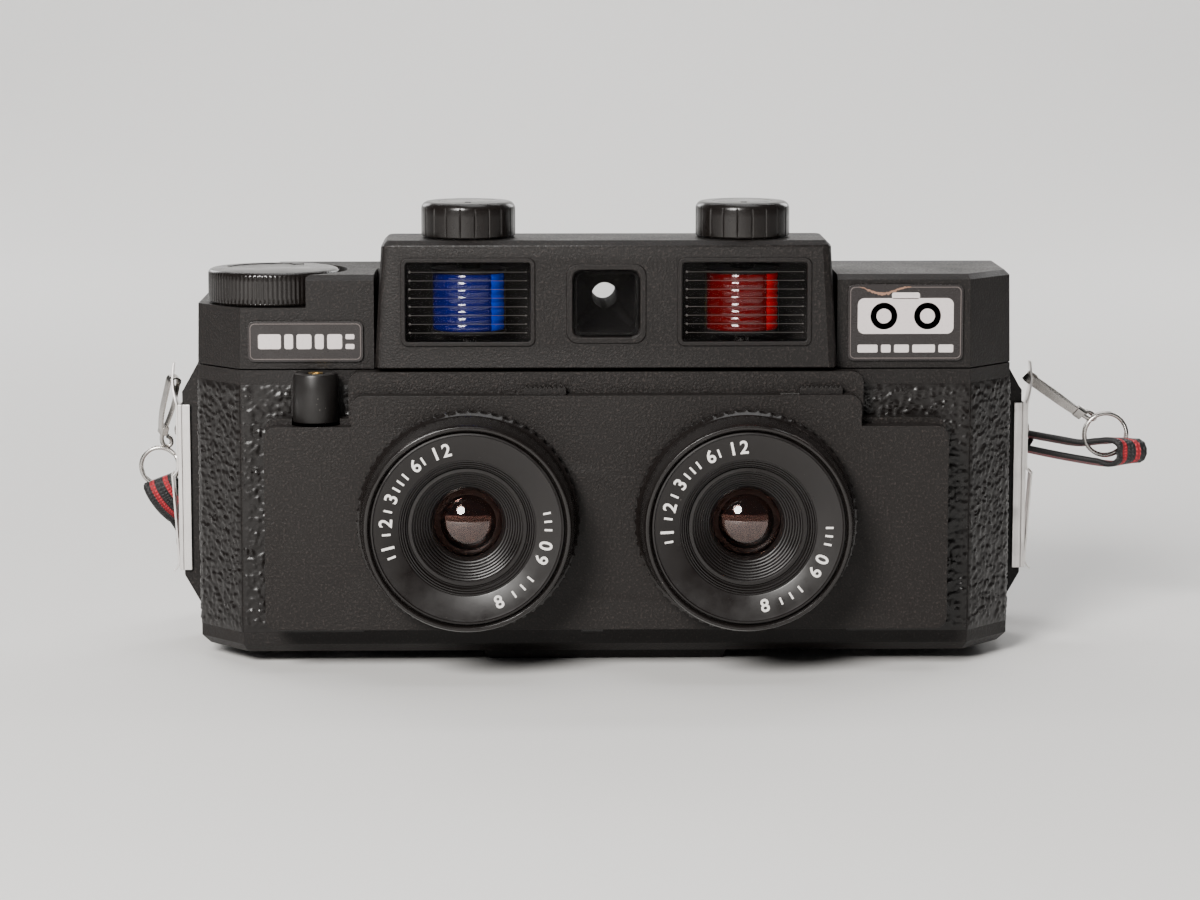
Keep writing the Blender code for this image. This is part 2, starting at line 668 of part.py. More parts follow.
def flash_lamp(label, side):
    """Trough reflector open to the front, with an upright tube on the drum's axis."""
    x = side * LENS_X
    low, high = 74.2, 89.6
    outer, inner = 7.1, 6.3
    arc = [math.radians(a) for a in range(-10, 191, 20)]
    outline = [(x + outer * math.cos(a), FLASH_Y + outer * math.sin(a)) for a in arc]
    outline += [(x + inner * math.cos(a), FLASH_Y + inner * math.sin(a)) for a in reversed(arc)]
    add_object("flash_reflector_" + label, prism(outline, low, high), CHROME)
    add_object("flash_tube_" + label, disc(1.6, low, high - 1, (x, FLASH_Y, 0), "Z", 16), GLASS)


def flash_electronics():
    board = box((-48, HUMP_FRONT + 3, 71.8), (48, HUMP_REAR - 3, 73.4))
    add_object("flash_circuit_board", board, BOARD)
    capacitor = disc(5.0, 0, 26, (60, 0, 80), "X", 24)
    add_object("flash_capacitor", capacitor, GLOSS)


def finder_window():
    half = FINDER_HALF - GAP
    outline = rounded(-half, FINDER_Z - half, half, FINDER_Z + half, 1.8, 2)
    add_object("viewfinder_window", prism(outline, HUMP_FRONT + 0.3, HUMP_FRONT + 1.5, "Y"), CLEAR)


def finder_tube():
    """Sight tunnel that narrows from the front window to a round eyepiece."""
    def section(half, radius, y):
        if half:
            return [(x, y, z) for x, z in rounded(-half, FINDER_Z - half, half, FINDER_Z + half, radius, 3)]
        points = []
        for quarter in range(4):
            for k in range(4):
                a = math.radians(90 * quarter + 7.5 + 25 * k)
                points.append((radius * math.cos(a), y, FINDER_Z + radius * math.sin(a)))
        return points

    front = HUMP_FRONT + 1.8
    rear = REAR_Y + 0.8
    step = HUMP_REAR - WALL - 0.5
    eye_r = 2.6
    outer = [section(7.4, 1.5, front), section(0, FINDER_TUBE_R, step), section(0, FINDER_TUBE_R, rear)]
    inner = [section(6.5, 1.2, front - 1), section(0, FINDER_TUBE_R - 1, step)]
    inner += [section(0, eye_r, rear - 2.0), section(0, eye_r, rear + 1)]
    obj = add_object("viewfinder_tube", loft(outer), BLACK)
    boolean(obj, loft(inner))


# ---------------------------------------------------------------- small fixed pieces

def stickers():
    places = ("sticker_left", -82.0, -55.6, 70.8, 80.1), ("sticker_right", 55.5, 82.0, 70.8, 88.3)
    for name, x0, x1, z0, z1 in places:
        add_object(name, prism(rounded(x0, z0, x1, z1, 1.4, 2), FRONT_Y - 0.7, FRONT_Y - GAP, "Y"), GLOSS)


def tripod_foot():
    half = [(FOOT_X - 1.6, 0), (FOOT_X, BODY_LOW - GAP)]
    outline = half + [(-x, z) for x, z in reversed(half)]
    obj = add_object("tripod_foot", prism(outline, -FOOT_Y, FOOT_Y, "Y"), BLACK)
    boolean(obj, disc(TRIPOD_R + GAP, -5, 5, (0, 0, 0), "Z", 24))
    profile = [(3.2, 0.3), (TRIPOD_R, 0.3), (TRIPOD_R, 10), (0, 10), (0, 8.5), (3.2, 8.5)]
    add_object("tripod_bush", turned(profile, (0, 0, 0), "Z", 24), BRASS)


def switches():
    x, z = FLASH_SWITCH
    knob = box((x - 5.7, REAR_Y - 1.9, z - 1), (x - 0.7, REAR_Y + 1.6, z + 1))
    add_object("flash_switch", knob, GLOSS)
    low = (BULB_SWITCH_X - 5.7, BASE_FRONT + 1.8, PANEL_LOW - 1.8)
    high = (BULB_SWITCH_X - 0.7, BASE_REAR - 1.6, PANEL_LOW + 2.7)
    add_object("bulb_switch", box(low, high), GLOSS)


# ---------------------------------------------------------------- clips and strap

def back_clip(name, side):
    """Sheet-metal channel over both flanges, with a springy strap lug on its outside."""
    outer_x, lip_x, sheet = 102.0, 98.2, 0.8
    y0, y1 = FLANGE_Y - GAP - sheet, BACK_FLANGE_Y + GAP + sheet
    channel = [
        (lip_x, y0), (outer_x, y0), (outer_x, y1), (lip_x, y1),
        (lip_x, y1 - sheet), (outer_x - sheet, y1 - sheet),
        (outer_x - sheet, y0 + sheet), (lip_x, y0 + sheet),
    ]
    channel = [(side * x, y) for x, y in channel]
    obj = add_object(name, prism(channel, CLIP_LOW, CLIP_TOP), ALUMINIUM)
    lug = [
        (outer_x - 0.3, 18.0), (102.9, 15.6), (102.6, 20.0), (102.6, 35.5), (103.9, 40.0), (102.6, 44.5),
        (102.6, 60.0), (103.9, 66.2), (103.1, 66.4), (outer_x - 0.3, 60.0),
    ]
    lug = [(side * x, z) for x, z in lug]
    boolean(obj, prism(lug, LUG_Y - 2.6, LUG_Y + 2.6, "Y"), "UNION")
    boolean(obj, disc(1.5, -7, 7, (side * outer_x, LUG_Y, LUG_HOLE_Z), "X", 16))


def snap_hooks():
    routes = {
        "right": [
            (100.9, LUG_Y, 61.9), (102.4, LUG_Y, 62.2), (104.6, LUG_Y, 62.4),
            (108.0, 17.6, 59.4), (113.0, 18.3, 55.3), (117.0, 19.0, 52.6),
        ],
        "left": [
            (-100.9, LUG_Y, 61.9), (-102.4, LUG_Y, 62.2), (-104.8, LUG_Y, 61.6),
            (-105.9, 18.0, 56.0), (-106.9, 20.3, 51.0), (-107.2, 22.0, 46.6),
        ],
    }
    for label, route in routes.items():
        tube("snap_hook_" + label, smooth_route(route, 2.0), 0.75, STEEL)


def split_ring(name, place):
    x, y, z, radius = place
    wire = []
    for i in range(6):
        a = 2 * math.pi * i / 6
        wire.append((radius + 0.8 * math.cos(a), 0.8 * math.sin(a)))
    add_object(name, turned(wire, (x, y, z), "Y", 20), STEEL)


# route of the strap on each side, from its fold at the ring to the hank behind the camera
STRAP_ROUTES = {
    "right": [
        (131.0, 22.8, 44.8), (124.0, 23.0, 45.6), (112.0, 24.0, 46.0), (105.0, 26.6, 43.4), (100.4, 31.0, 38.0),
        (98.0, 38.0, 27.0), (93.0, 47.0, 13.0), (84.0, 56.0, 5.8), (77.0, 59.4, 5.3), (71.0, 60.0, 5.3),
    ],
    "left": [
        (-108.4, 25.9, 38.8), (-106.8, 26.0, 35.0), (-103.8, 27.4, 30.5), (-101.0, 31.0, 25.0),
        (-98.0, 38.0, 17.0), (-92.0, 48.0, 8.5), (-84.0, 56.5, 5.5), (-77.0, 59.4, 5.3), (-71.0, 60.0, 5.3),
    ],
}


def strap():
    """Each strap end rides on its clip; the rest lies behind the camera in a folded hank."""
    for label, side in SIDES:
        points = smooth_route(STRAP_ROUTES[label], 3.0)
        split = next(i for i, p in enumerate(points) if abs(p[0]) < CLIP_CLEAR_X)
        last = points[split - 1]
        onward = (points[split] - last).normalized()
        tube("strap_end_" + label, points[:split], STRAP_TUBE_R, NYLON)
        tube("strap_run_" + label, [last + onward * 4 * GAP] + points[split:], STRAP_TUBE_R, NYLON)
    half_x, half_y = HANK_SIZE
    outline = rounded(-half_x, HANK_Y - half_y, half_x, HANK_Y + half_y, half_y - 0.01, 8)
    add_object("strap_hank", prism(outline, HANK_LOW, HANK_TOP), NYLON)
    band = 1.0
    reach = half_y + GAP
    low = HANK_LOW - GAP
    top = HANK_TOP + GAP
    outer = box((-3, HANK_Y - reach - band, low - 0.9), (3, HANK_Y + reach + band, top + band))
    tie = add_object("strap_tie", outer, NYLON)
    boolean(tie, box((-5, HANK_Y - reach, low), (5, HANK_Y + reach, top)))


def main():
    body_shell()
    top_cover()
    back_cover()
    counter_pieces()
    film_gate()
    spool("take_up_spool", WINDER[0])
    spool("supply_spool", SUPPLY_X)
    winder_knob()
    shutter_base()
    lens_panel()
    shutter_button()
    flash_housing()
    flash_electronics()
    finder_window()
    finder_tube()
    stickers()
    tripod_foot()
    switches()
    snap_hooks()
    split_ring("split_ring_right", RING_RIGHT)
    split_ring("split_ring_left", RING_LEFT)
    strap()
    for label, side in SIDES:
        aperture_slider("aperture_slider_" + label, side)
        shutter_blade("shutter_blade_" + label, side)
        focus_ring("focus_ring_" + label, side)
        lens_bezel("lens_bezel_" + label, side)
        lens_cell("lens_cell_" + label, side)
        flash_window("flash_window_" + label, side)
        filter_drum("filter_drum_" + label, side)
        flash_knob("flash_knob_" + label, side)
        flash_lamp(label, side)
        back_clip("back_clip_" + label, side)


for old in list(bpy.data.objects):
    bpy.data.objects.remove(old, do_unlink=True)

LEATHER = material("grained_plastic", (0.02, 0.018, 0.017), 0.6)
BLACK = material("moulded_plastic", (0.025, 0.022, 0.021), 0.55)
GLOSS = material("gloss_plastic", (0.012, 0.011, 0.011), 0.25)
DARK = material("matt_black_inside", (0.01, 0.01, 0.01), 0.8)
CLEAR = material("clear_plastic", (0.9, 0.92, 0.93), 0.08, transmission=1.0)
GLASS = material("lens_glass", (0.9, 0.85, 0.8), 0.02, transmission=1.0)
BLUE = material("blue_filter", (0.01, 0.03, 0.7), 0.1, transmission=0.8)
RED = material("red_filter", (0.7, 0.01, 0.02), 0.1, transmission=0.8)
STEEL = material("steel", (0.6, 0.58, 0.55), 0.3, 1.0)
CHROME = material("reflector_chrome", (0.9, 0.9, 0.9), 0.1, 1.0)
ALUMINIUM = material("aluminium", (0.75, 0.72, 0.7), 0.35, 1.0)
BRASS = material("brass", (0.75, 0.55, 0.25), 0.3, 1.0)
NYLON = material("nylon_webbing", (0.02, 0.02, 0.02), 0.8)
BOARD = material("circuit_board", (0.05, 0.2, 0.08), 0.5)

main()
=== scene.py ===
"""Looks of the stereo camera: finished surfaces, lenses, flash, strap, stage, light and camera.

Lengths in this file are in millimetres unless a comment says otherwise, and MM turns them into
metres.  Positions repeat the model's own: +X right, +Y back, +Z up, origin under the foot.
"""

import json
import math
import random

import bmesh
import bpy
from mathutils import Matrix, Vector, noise


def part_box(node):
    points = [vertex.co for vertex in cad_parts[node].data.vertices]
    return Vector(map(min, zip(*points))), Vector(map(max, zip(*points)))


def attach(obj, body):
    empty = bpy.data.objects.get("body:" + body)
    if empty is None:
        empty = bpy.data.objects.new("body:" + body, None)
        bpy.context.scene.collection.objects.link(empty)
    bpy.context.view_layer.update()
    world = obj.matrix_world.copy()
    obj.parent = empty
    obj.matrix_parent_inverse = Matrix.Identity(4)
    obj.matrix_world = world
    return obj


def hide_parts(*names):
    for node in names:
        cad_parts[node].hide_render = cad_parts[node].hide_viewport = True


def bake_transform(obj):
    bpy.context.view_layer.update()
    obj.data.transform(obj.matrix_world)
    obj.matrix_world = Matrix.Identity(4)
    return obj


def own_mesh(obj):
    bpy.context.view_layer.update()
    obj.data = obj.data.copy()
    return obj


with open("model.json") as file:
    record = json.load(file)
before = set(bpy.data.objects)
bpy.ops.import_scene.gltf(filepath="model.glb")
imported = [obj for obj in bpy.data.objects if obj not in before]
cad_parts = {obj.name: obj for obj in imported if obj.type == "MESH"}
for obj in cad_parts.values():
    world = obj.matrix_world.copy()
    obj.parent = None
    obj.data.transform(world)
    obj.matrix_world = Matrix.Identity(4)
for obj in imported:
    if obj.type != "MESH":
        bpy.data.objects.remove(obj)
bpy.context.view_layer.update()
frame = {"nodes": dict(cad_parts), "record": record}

MM = 0.001
SIDES = (("left", -1), ("right", 1))
BODY_OF = {node: body for body, nodes in frame["record"]["behaviour"]["bodies"].items() for node in nodes}


def corners(node):
    """Lowest and highest corner of a CAD node, in millimetres."""
    low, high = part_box(node)
    return Vector(low) / MM, Vector(high) / MM


# ---------------------------------------------------------------- camera

CAMERA_PLACE = (-16.4, -838.6, 164.2)
CAMERA_DOWN, CAMERA_TURN = 7.95, -1.056    # degrees below the horizon, and round the vertical
FOCAL_LENGTH, SENSOR_WIDTH = 107.4, 36.0


def make_camera():
    """The photograph's view."""
    data = bpy.data.cameras.new("view")
    data.lens = FOCAL_LENGTH
    data.sensor_width = SENSOR_WIDTH
    data.clip_start = 10 * MM
    camera = bpy.data.objects.new("view", data)
    camera.location = Vector(CAMERA_PLACE) * MM
    camera.rotation_euler = (math.radians(90 - CAMERA_DOWN), 0, math.radians(CAMERA_TURN))
    bpy.context.collection.objects.link(camera)
    bpy.context.scene.camera = camera


# ---------------------------------------------------------------- node helpers for materials

class Shader:
    """A Principled material with short calls for its texture nodes."""

    def __init__(self, name, colour, roughness, metallic=0.0, **sockets):
        self.mat = bpy.data.materials.new(name)
        self.mat.use_nodes = True
        self.tree = self.mat.node_tree
        self.principled = self.tree.nodes["Principled BSDF"]
        self.set("Base Color", (*colour, 1.0))
        self.set("Roughness", roughness)
        self.set("Metallic", metallic)
        for socket, value in sockets.items():
            self.set(socket.replace("_", " "), value)
        self.mat.diffuse_color = (*colour, 1.0)
        self.coords = self.tree.nodes.new("ShaderNodeTexCoord").outputs["Object"]
        self.height = None

    def set(self, socket, value):
        self.principled.inputs[socket].default_value = value

    def node(self, kind, inputs=None, **settings):
        """Add a node; an input is a number, a colour or another node's output."""
        item = self.tree.nodes.new(kind)
        for key, value in settings.items():
            setattr(item, key, value)
        for key, value in (inputs or {}).items():
            if isinstance(value, bpy.types.NodeSocket):
                self.tree.links.new(value, item.inputs[key])
            else:
                item.inputs[key].default_value = value
        return item

    def stretched(self, scale):
        """Object coordinates scaled differently along each axis."""
        return self.node("ShaderNodeMapping", {"Vector": self.coords, "Scale": scale}).outputs[0]

    def noise(self, size, detail=3.0, rough=0.55, vector=None):
        """Noise whose grains are about `size` millimetres."""
        inputs = {"Vector": vector or self.coords, "Scale": 1.0 / (size * MM), "Detail": detail,
                  "Roughness": rough}
        return self.node("ShaderNodeTexNoise", inputs).outputs["Fac"]

    def cells(self, size):
        """Distance to the nearest of scattered points about `size` millimetres apart."""
        inputs = {"Vector": self.coords, "Scale": 1.0 / (size * MM)}
        return self.node("ShaderNodeTexVoronoi", inputs).outputs["Distance"]

    def grey(self, value, low, high, low_at=0.0, high_at=1.0):
        """Map values from low_at..high_at to low..high, clamped."""
        inputs = {"Value": value, "From Min": low_at, "From Max": high_at, "To Min": low, "To Max": high}
        return self.node("ShaderNodeMapRange", inputs).outputs["Result"]

    def math(self, operation, a, b=0.0):
        return self.node("ShaderNodeMath", {0: a, 1: b}, operation=operation).outputs[0]

    def mix(self, factor, a, b):
        """Blend colour a into colour b."""
        item = self.node("ShaderNodeMix", data_type="RGBA")
        for index, value in ((0, factor), (6, a), (7, b)):
            if isinstance(value, bpy.types.NodeSocket):
                self.tree.links.new(value, item.inputs[index])
            elif index:
                item.inputs[index].default_value = (*value, 1.0)
            else:
                item.inputs[index].default_value = value
        return item.outputs[2]

    def drive(self, socket, value):
        """Connect a node's output to one of the Principled sockets."""
        self.tree.links.new(value, self.principled.inputs[socket])

    def bump(self, value, depth):
        """Add a relief of `depth` millimetres; calls stack up."""
        inputs = {"Height": value, "Distance": depth * MM, "Strength": 1.0}
        if self.height:
            inputs["Normal"] = self.height
        self.height = self.node("ShaderNodeBump", inputs).outputs["Normal"]
        self.drive("Normal", self.height)


def moulded_plastic(name="moulded_black", colour=(0.006, 0.0047, 0.0043), sparkle=1.0):
    """Black ABS with a fine spark-eroded grain that glints, and faint handling wear."""
    s = Shader(name, colour, 0.46, Specular_IOR_Level=0.25)
    fine = s.noise(0.55, detail=2.0, rough=0.7)
    coarse = s.noise(1.9, detail=2.0)
    worn = s.noise(14.0, detail=3.0)
    s.bump(fine, 0.1 * sparkle)
    s.bump(coarse, 0.03)
    glint = s.grey(fine, 0.38, 0.6, 0.35, 0.7)
    patch = s.grey(worn, -0.05, 0.05, 0.3, 0.7)
    s.drive("Roughness", s.math("ADD", glint, patch))
    light = tuple(c * 4.0 for c in colour)
    s.drive("Base Color", s.mix(s.grey(fine, 0.0, 1.0, 0.54, 0.7), colour, light))
    return s.mat


def grained_plastic():
    """The leather-grain skin: its wrinkles are in the mesh, and this adds the pores."""
    s = Shader("leather_grain", (0.0055, 0.0042, 0.0038), 0.3, Specular_IOR_Level=0.38)
    pores = s.noise(0.25, detail=2.0)
    s.bump(pores, 0.015)
    s.drive("Roughness", s.grey(s.noise(3.0), 0.24, 0.38, 0.3, 0.7))
    return s.mat


def gloss_plastic(name="gloss_black", colour=(0.0075, 0.006, 0.0055), roughness=0.2):
    """Polished black plastic with hairline scratches and a little dust."""
    s = Shader(name, colour, roughness, Specular_IOR_Level=0.4)
    film = s.noise(6.0, detail=4.0)
    hair = s.noise(0.5, detail=1.0, vector=s.stretched((1.0, 1.0, 9.0)))
    s.drive("Roughness", s.math("ADD", s.grey(film, roughness * 0.75, roughness * 1.35, 0.3, 0.7),
                                s.grey(hair, 0.0, 0.06, 0.45, 0.75)))
    dust = s.cells(1.7)
    speck = s.grey(dust, 1.0, 0.0, 0.035, 0.06)
    chance = s.grey(s.noise(3.0, detail=1.0), 0.0, 0.55, 0.56, 0.62)
    s.drive("Base Color", s.mix(s.math("MULTIPLY", speck, chance), colour, (0.35, 0.32, 0.3)))
    s.bump(s.noise(1.2, detail=2.0), 0.006)
    return s.mat


def matt_inside():
    """Black that swallows light, for chambers and tunnels."""
    s = Shader("matt_inside", (0.0035, 0.003, 0.003), 0.8, Specular_IOR_Level=0.15)
    s.bump(s.noise(0.3), 0.03)
    s.drive("Roughness", s.grey(s.noise(2.0), 0.68, 0.85))
    return s.mat


def metal(name, colour, roughness, grain=(1.0, 1.0, 1.0)):
    """Plated or drawn metal: streaks along the rolling direction and dull patches."""
    s = Shader(name, colour, roughness, 1.0)
    streak = s.noise(0.35, detail=4.0, vector=s.stretched(grain))
    patch = s.noise(4.0, detail=4.0)
    s.drive("Roughness", s.math("ADD", s.grey(streak, roughness - 0.07, roughness + 0.1, 0.3, 0.7),
                                s.grey(patch, 0.0, 0.1, 0.45, 0.7)))
    dark = tuple(c * 0.72 for c in colour)
    s.drive("Base Color", s.mix(s.grey(patch, 0.0, 0.55, 0.5, 0.8), colour, dark))
    s.bump(streak, 0.012)
    return s.mat


def clear_plastic(name, tint, roughness, ior=1.49):
    """Solid glass or acrylic with a little uneven polish."""
    s = Shader(name, tint, roughness, Transmission_Weight=1.0, IOR=ior)
    s.drive("Roughness", s.grey(s.noise(5.0, detail=4.0), roughness * 0.6, roughness * 2.0, 0.35, 0.7))
    s.bump(s.noise(1.5, detail=2.0), 0.004)
    return s.mat


def smoked_pane(name, cover):
    """Thin smoky plastic: it lets light straight through and keeps a weak mirror on top."""
    s = Shader(name, (0.006, 0.0055, 0.0055), 0.03, Alpha=cover, Specular_IOR_Level=0.2)
    s.drive("Roughness", s.grey(s.noise(5.0, detail=4.0), 0.02, 0.06, 0.35, 0.7))
    return s.mat


def tinted_pane(name, colour):
    """Deep-dyed plastic: part of the light comes back from inside it."""
    s = Shader(name, colour, 0.07, Transmission_Weight=0.35, IOR=1.5)
    s.drive("Roughness", s.grey(s.noise(5.0, detail=4.0), 0.05, 0.1, 0.35, 0.7))
    s.bump(s.noise(2.5, detail=2.0), 0.01)
    return s.mat


def webbing(name, colour):
    """Woven nylon: rows of yarn across and along the ribbon, from its own UV map."""
    s = Shader(name, colour, 0.62, Sheen_Weight=0.16)
    s.set("Sheen Tint", (*[min(1.0, c * 3 + 0.05) for c in colour], 1.0))
    uv = s.node("ShaderNodeUVMap", uv_map="ribbon").outputs[0]
    fill = s.node("ShaderNodeTexWave", {"Vector": uv, "Scale": 420.0, "Distortion": 0.6},
                  bands_direction="Y").outputs["Fac"]
    warp = s.node("ShaderNodeTexWave", {"Vector": uv, "Scale": 330.0, "Distortion": 0.3},
                  bands_direction="X").outputs["Fac"]
    weave = s.math("MULTIPLY", fill, warp)
    s.bump(weave, 0.22)
    fuzz = s.noise(0.3, detail=3.0)
    s.bump(fuzz, 0.05)
    # Yarn colour goes dark in the weave's hollows and light on its crowns: painted shade and painted sheen
    # following the weave, with random tone from the fuzz.
    dark = tuple(c * 0.35 for c in colour)
    light = tuple(c * 1.25 for c in colour)
    s.drive("Base Color", s.mix(s.math("MULTIPLY", weave, s.grey(fuzz, 0.6, 1.2, 0.3, 0.7)), dark, light))
    return s.mat


def printed(name, colour, roughness=0.32):
    """Ink or foil laid on plastic, with slightly uneven edges and cover."""
    s = Shader(name, colour, roughness)
    worn = s.noise(0.6, detail=4.0)
    s.drive("Base Color", s.mix(s.grey(worn, 0.0, 0.5, 0.55, 0.8), colour, tuple(c * 0.6 for c in colour)))
    s.drive("Roughness", s.grey(worn, roughness - 0.08, roughness + 0.12))
    return s.mat


def circuit_board():
    """Green laminate with a pattern of tracks."""
    green = (0.02, 0.12, 0.05)
    s = Shader("board", green, 0.4)
    bricks = {"Vector": s.coords, "Scale": 260.0, "Mortar Size": 0.03}
    tracks = s.node("ShaderNodeTexBrick", bricks).outputs["Fac"]
    s.drive("Base Color", s.mix(tracks, green, (0.05, 0.22, 0.1)))
    s.bump(tracks, 0.03)
    return s.mat


# ---------------------------------------------------------------- mesh helpers

CORNER_STEPS = 6                      # sides of each corner in a rounded outline


def add_piece(name, bm, mat, body="root", stands_for=(), smooth_deg=35):
    """Turn a bmesh in millimetres into a piece that rides on its body, unless body is None."""
    bmesh.ops.scale(bm, vec=(MM, MM, MM), verts=bm.verts)
    bmesh.ops.recalc_face_normals(bm, faces=bm.faces)
    mesh = bpy.data.meshes.new(name)
    bm.to_mesh(mesh)
    bm.free()
    mesh.shade_smooth()
    mesh.set_sharp_from_angle(angle=math.radians(smooth_deg))
    for item in mat if isinstance(mat, (list, tuple)) else (mat,):
        mesh.materials.append(item)
    obj = bpy.data.objects.new(name, mesh)
    bpy.context.collection.objects.link(obj)
    if body:
        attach(obj, body)
    if stands_for:
        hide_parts(*stands_for)
    return obj


def bevel(obj, width, segments=2, angle_deg=38):
    """Round the edges that are sharper than an angle."""
    mod = obj.modifiers.new("edges", "BEVEL")
    mod.width = width * MM
    mod.segments = segments
    mod.limit_method = "ANGLE"
    mod.angle_limit = math.radians(angle_deg)
    mod.harden_normals = True
    return obj


def loft(rings, ends="capped"):
    """Skin over rings of equal point count; its ends are "capped", or "joined" to each other."""
    bm = bmesh.new()
    loops = [[bm.verts.new(p) for p in ring] for ring in rings]
    count = len(loops[0])
    for low, high in zip(loops, loops[1:] + (loops[:1] if ends == "joined" else [])):
        for i in range(count):
            j = (i + 1) % count
            bm.faces.new((low[i], low[j], high[j], high[i]))
    if ends == "capped":
        bm.faces.new(list(reversed(loops[0])))
        bm.faces.new(loops[-1])
    return bm


def prism(outline, low, high, axis="Z"):
    """An outline drawn square to an axis and pushed from low to high along it."""
    place = {
        "Z": lambda p, t: (p[0], p[1], t),
        "Y": lambda p, t: (p[0], t, p[1]),
        "X": lambda p, t: (t, p[0], p[1]),
    }[axis]
    return loft([[place(p, t) for p in outline] for t in (low, high)])


def arc(middle, radius, first, last, steps):
    """Points on a circle between two angles in degrees, both ends included."""
    angles = [math.radians(first + (last - first) * k / steps) for k in range(steps + 1)]
    return [(middle[0] + radius * math.cos(a), middle[1] + radius * math.sin(a)) for a in angles]


def rounded(x0, y0, x1, y1, radius, steps=CORNER_STEPS):
    """Outline of a rectangle with round corners."""
    left, right, low, high = x0 + radius, x1 - radius, y0 + radius, y1 - radius
    points = []
    for k, middle in enumerate(((right, high), (left, high), (left, low), (right, low))):
        points += arc(middle, radius, 90 * k, 90 * (k + 1), steps)
    return points


def tube_part(middle, outer, inner, first, last, steps):
    """Outline of part of a tube between two angles in degrees."""
    return arc(middle, outer, first, last, steps) + arc(middle, inner, last, first, steps)


def turned(profile, at, axis="Z", steps=96, ripple=None):
    """Revolve a (radius, height) profile; closed unless it starts and ends on the axis.
    ripple(angle, radius, height) may change the radius, for ribs and scallops."""
    bm = bmesh.new()
    cx, cy, cz = at

    def place(r, h, a):
        if ripple:
            r = ripple(a, r, h)
        u = r * math.cos(a)
        v = r * math.sin(a)
        if axis == "Z":
            return (cx + u, cy + v, cz + h)
        if axis == "Y":
            return (cx + u, cy + h, cz + v)
        return (cx + h, cy + u, cz + v)

    poles = {k: bm.verts.new(place(0, h, 0)) for k, (r, h) in enumerate(profile) if r <= 0}
    columns = []
    for i in range(steps):
        a = 2 * math.pi * i / steps
        columns.append([poles.get(k) or bm.verts.new(place(r, h, a)) for k, (r, h) in enumerate(profile)])
    last = len(profile) if not poles else len(profile) - 1
    for i in range(steps):
        left, right = columns[i], columns[(i + 1) % steps]
        for k in range(last):
            m = (k + 1) % len(profile)
            unique = []
            for v in (left[k], left[m], right[m], right[k]):
                if v not in unique:
                    unique.append(v)
            if len(unique) > 2:
                bm.faces.new(unique)
    return bm


def merged(*parts):
    """Join several bmeshes into one."""
    whole = bmesh.new()
    for part in parts:
        mesh = bpy.data.meshes.new("part")
        part.to_mesh(mesh)
        part.free()
        whole.from_mesh(mesh)
        bpy.data.meshes.remove(mesh)
    return whole


def softened(node, mat, width, segments):
    """The CAD shape of a node with its edges rounded over."""
    source = frame["nodes"][node]
    bm = bmesh.new()
    bm.from_mesh(source.data)
    bm.transform(source.matrix_world)
    bmesh.ops.remove_doubles(bm, verts=bm.verts, dist=1e-6)
    bmesh.ops.dissolve_limit(bm, angle_limit=math.radians(1.0), verts=bm.verts, edges=bm.edges)
    bmesh.ops.scale(bm, vec=(1 / MM,) * 3, verts=bm.verts)
    return bevel(add_piece(node + "_finish", bm, mat, BODY_OF[node], (node,)), width, segments, 30)


# ---------------------------------------------------------------- strap

RIBBON_WIDE, RIBBON_THICK = 8.0, 1.3
EDGE_FLAT = 0.35                      # the woven edge that thins away
STRIPE = (1.1, 2.3)                   # from the ribbon's middle to each coloured stripe's two edges
HANK = Vector((70.0, 60.0, 5.3))      # half length, middle in Y, height of the ribbon's centre line
HANK_HALF_Y, HANK_PITCH = 19.2, 3.3
FREE_RUN = 62.0                       # strap between its clip and the hank; the last hump is as long
STRAP_ROUTES = {
    "right": [
        (104.0, 26.4, 44.2), (100.4, 31.0, 38.0), (98.0, 38.0, 27.0), (93.0, 43.0, 14.0),
        (84.0, 43.5, 6.6), (74.0, 41.8, 5.3), (50.0, 40.8, 5.3),
    ],
    "left": [
        (-103.8, 27.4, 30.5), (-101.0, 31.0, 25.0), (-98.0, 38.0, 17.0), (-92.0, 48.0, 8.5),
        (-84.0, 56.5, 5.5), (-78.0, 60.0, 5.3),
    ],
}


def smooth_route(points, spacing):
    """Even points along a Catmull-Rom curve through the given points."""
    pts = [Vector(p) for p in points]
    ext = [pts[0] * 2 - pts[1]] + pts + [pts[-1] * 2 - pts[-2]]
    fine = []
    for p0, p1, p2, p3 in zip(ext, ext[1:], ext[2:], ext[3:]):
        for k in range(16):
            t = k / 16
            fine.append(0.5 * (2 * p1 + (p2 - p0) * t + (2 * p0 - 5 * p1 + 4 * p2 - p3) * t * t
                               + (3 * p1 - p0 - 3 * p2 + p3) * t ** 3))
    fine.append(pts[-1])
    total = length_of(fine)
    count = max(3, round(total / spacing))
    out = [fine[0]]
    run = 0.0
    for a, b in zip(fine, fine[1:]):
        step = (b - a).length
        while len(out) < count and run + step >= len(out) * total / count:
            out.append(a.lerp(b, (len(out) * total / count - run) / step))
        run += step
    return out + [fine[-1]]


def length_of(points):
    """Length of a route."""
    return sum((b - a).length for a, b in zip(points, points[1:]))


def tangent_at(points, i):
    """Direction of a route at its point number i."""
    return (points[min(i + 1, len(points) - 1)] - points[max(i - 1, 0)]).normalized()


def square_to(direction, tangent):
    """The part of a direction that is square to the tangent, one long."""
    return (direction - tangent * direction.dot(tangent)).normalized()


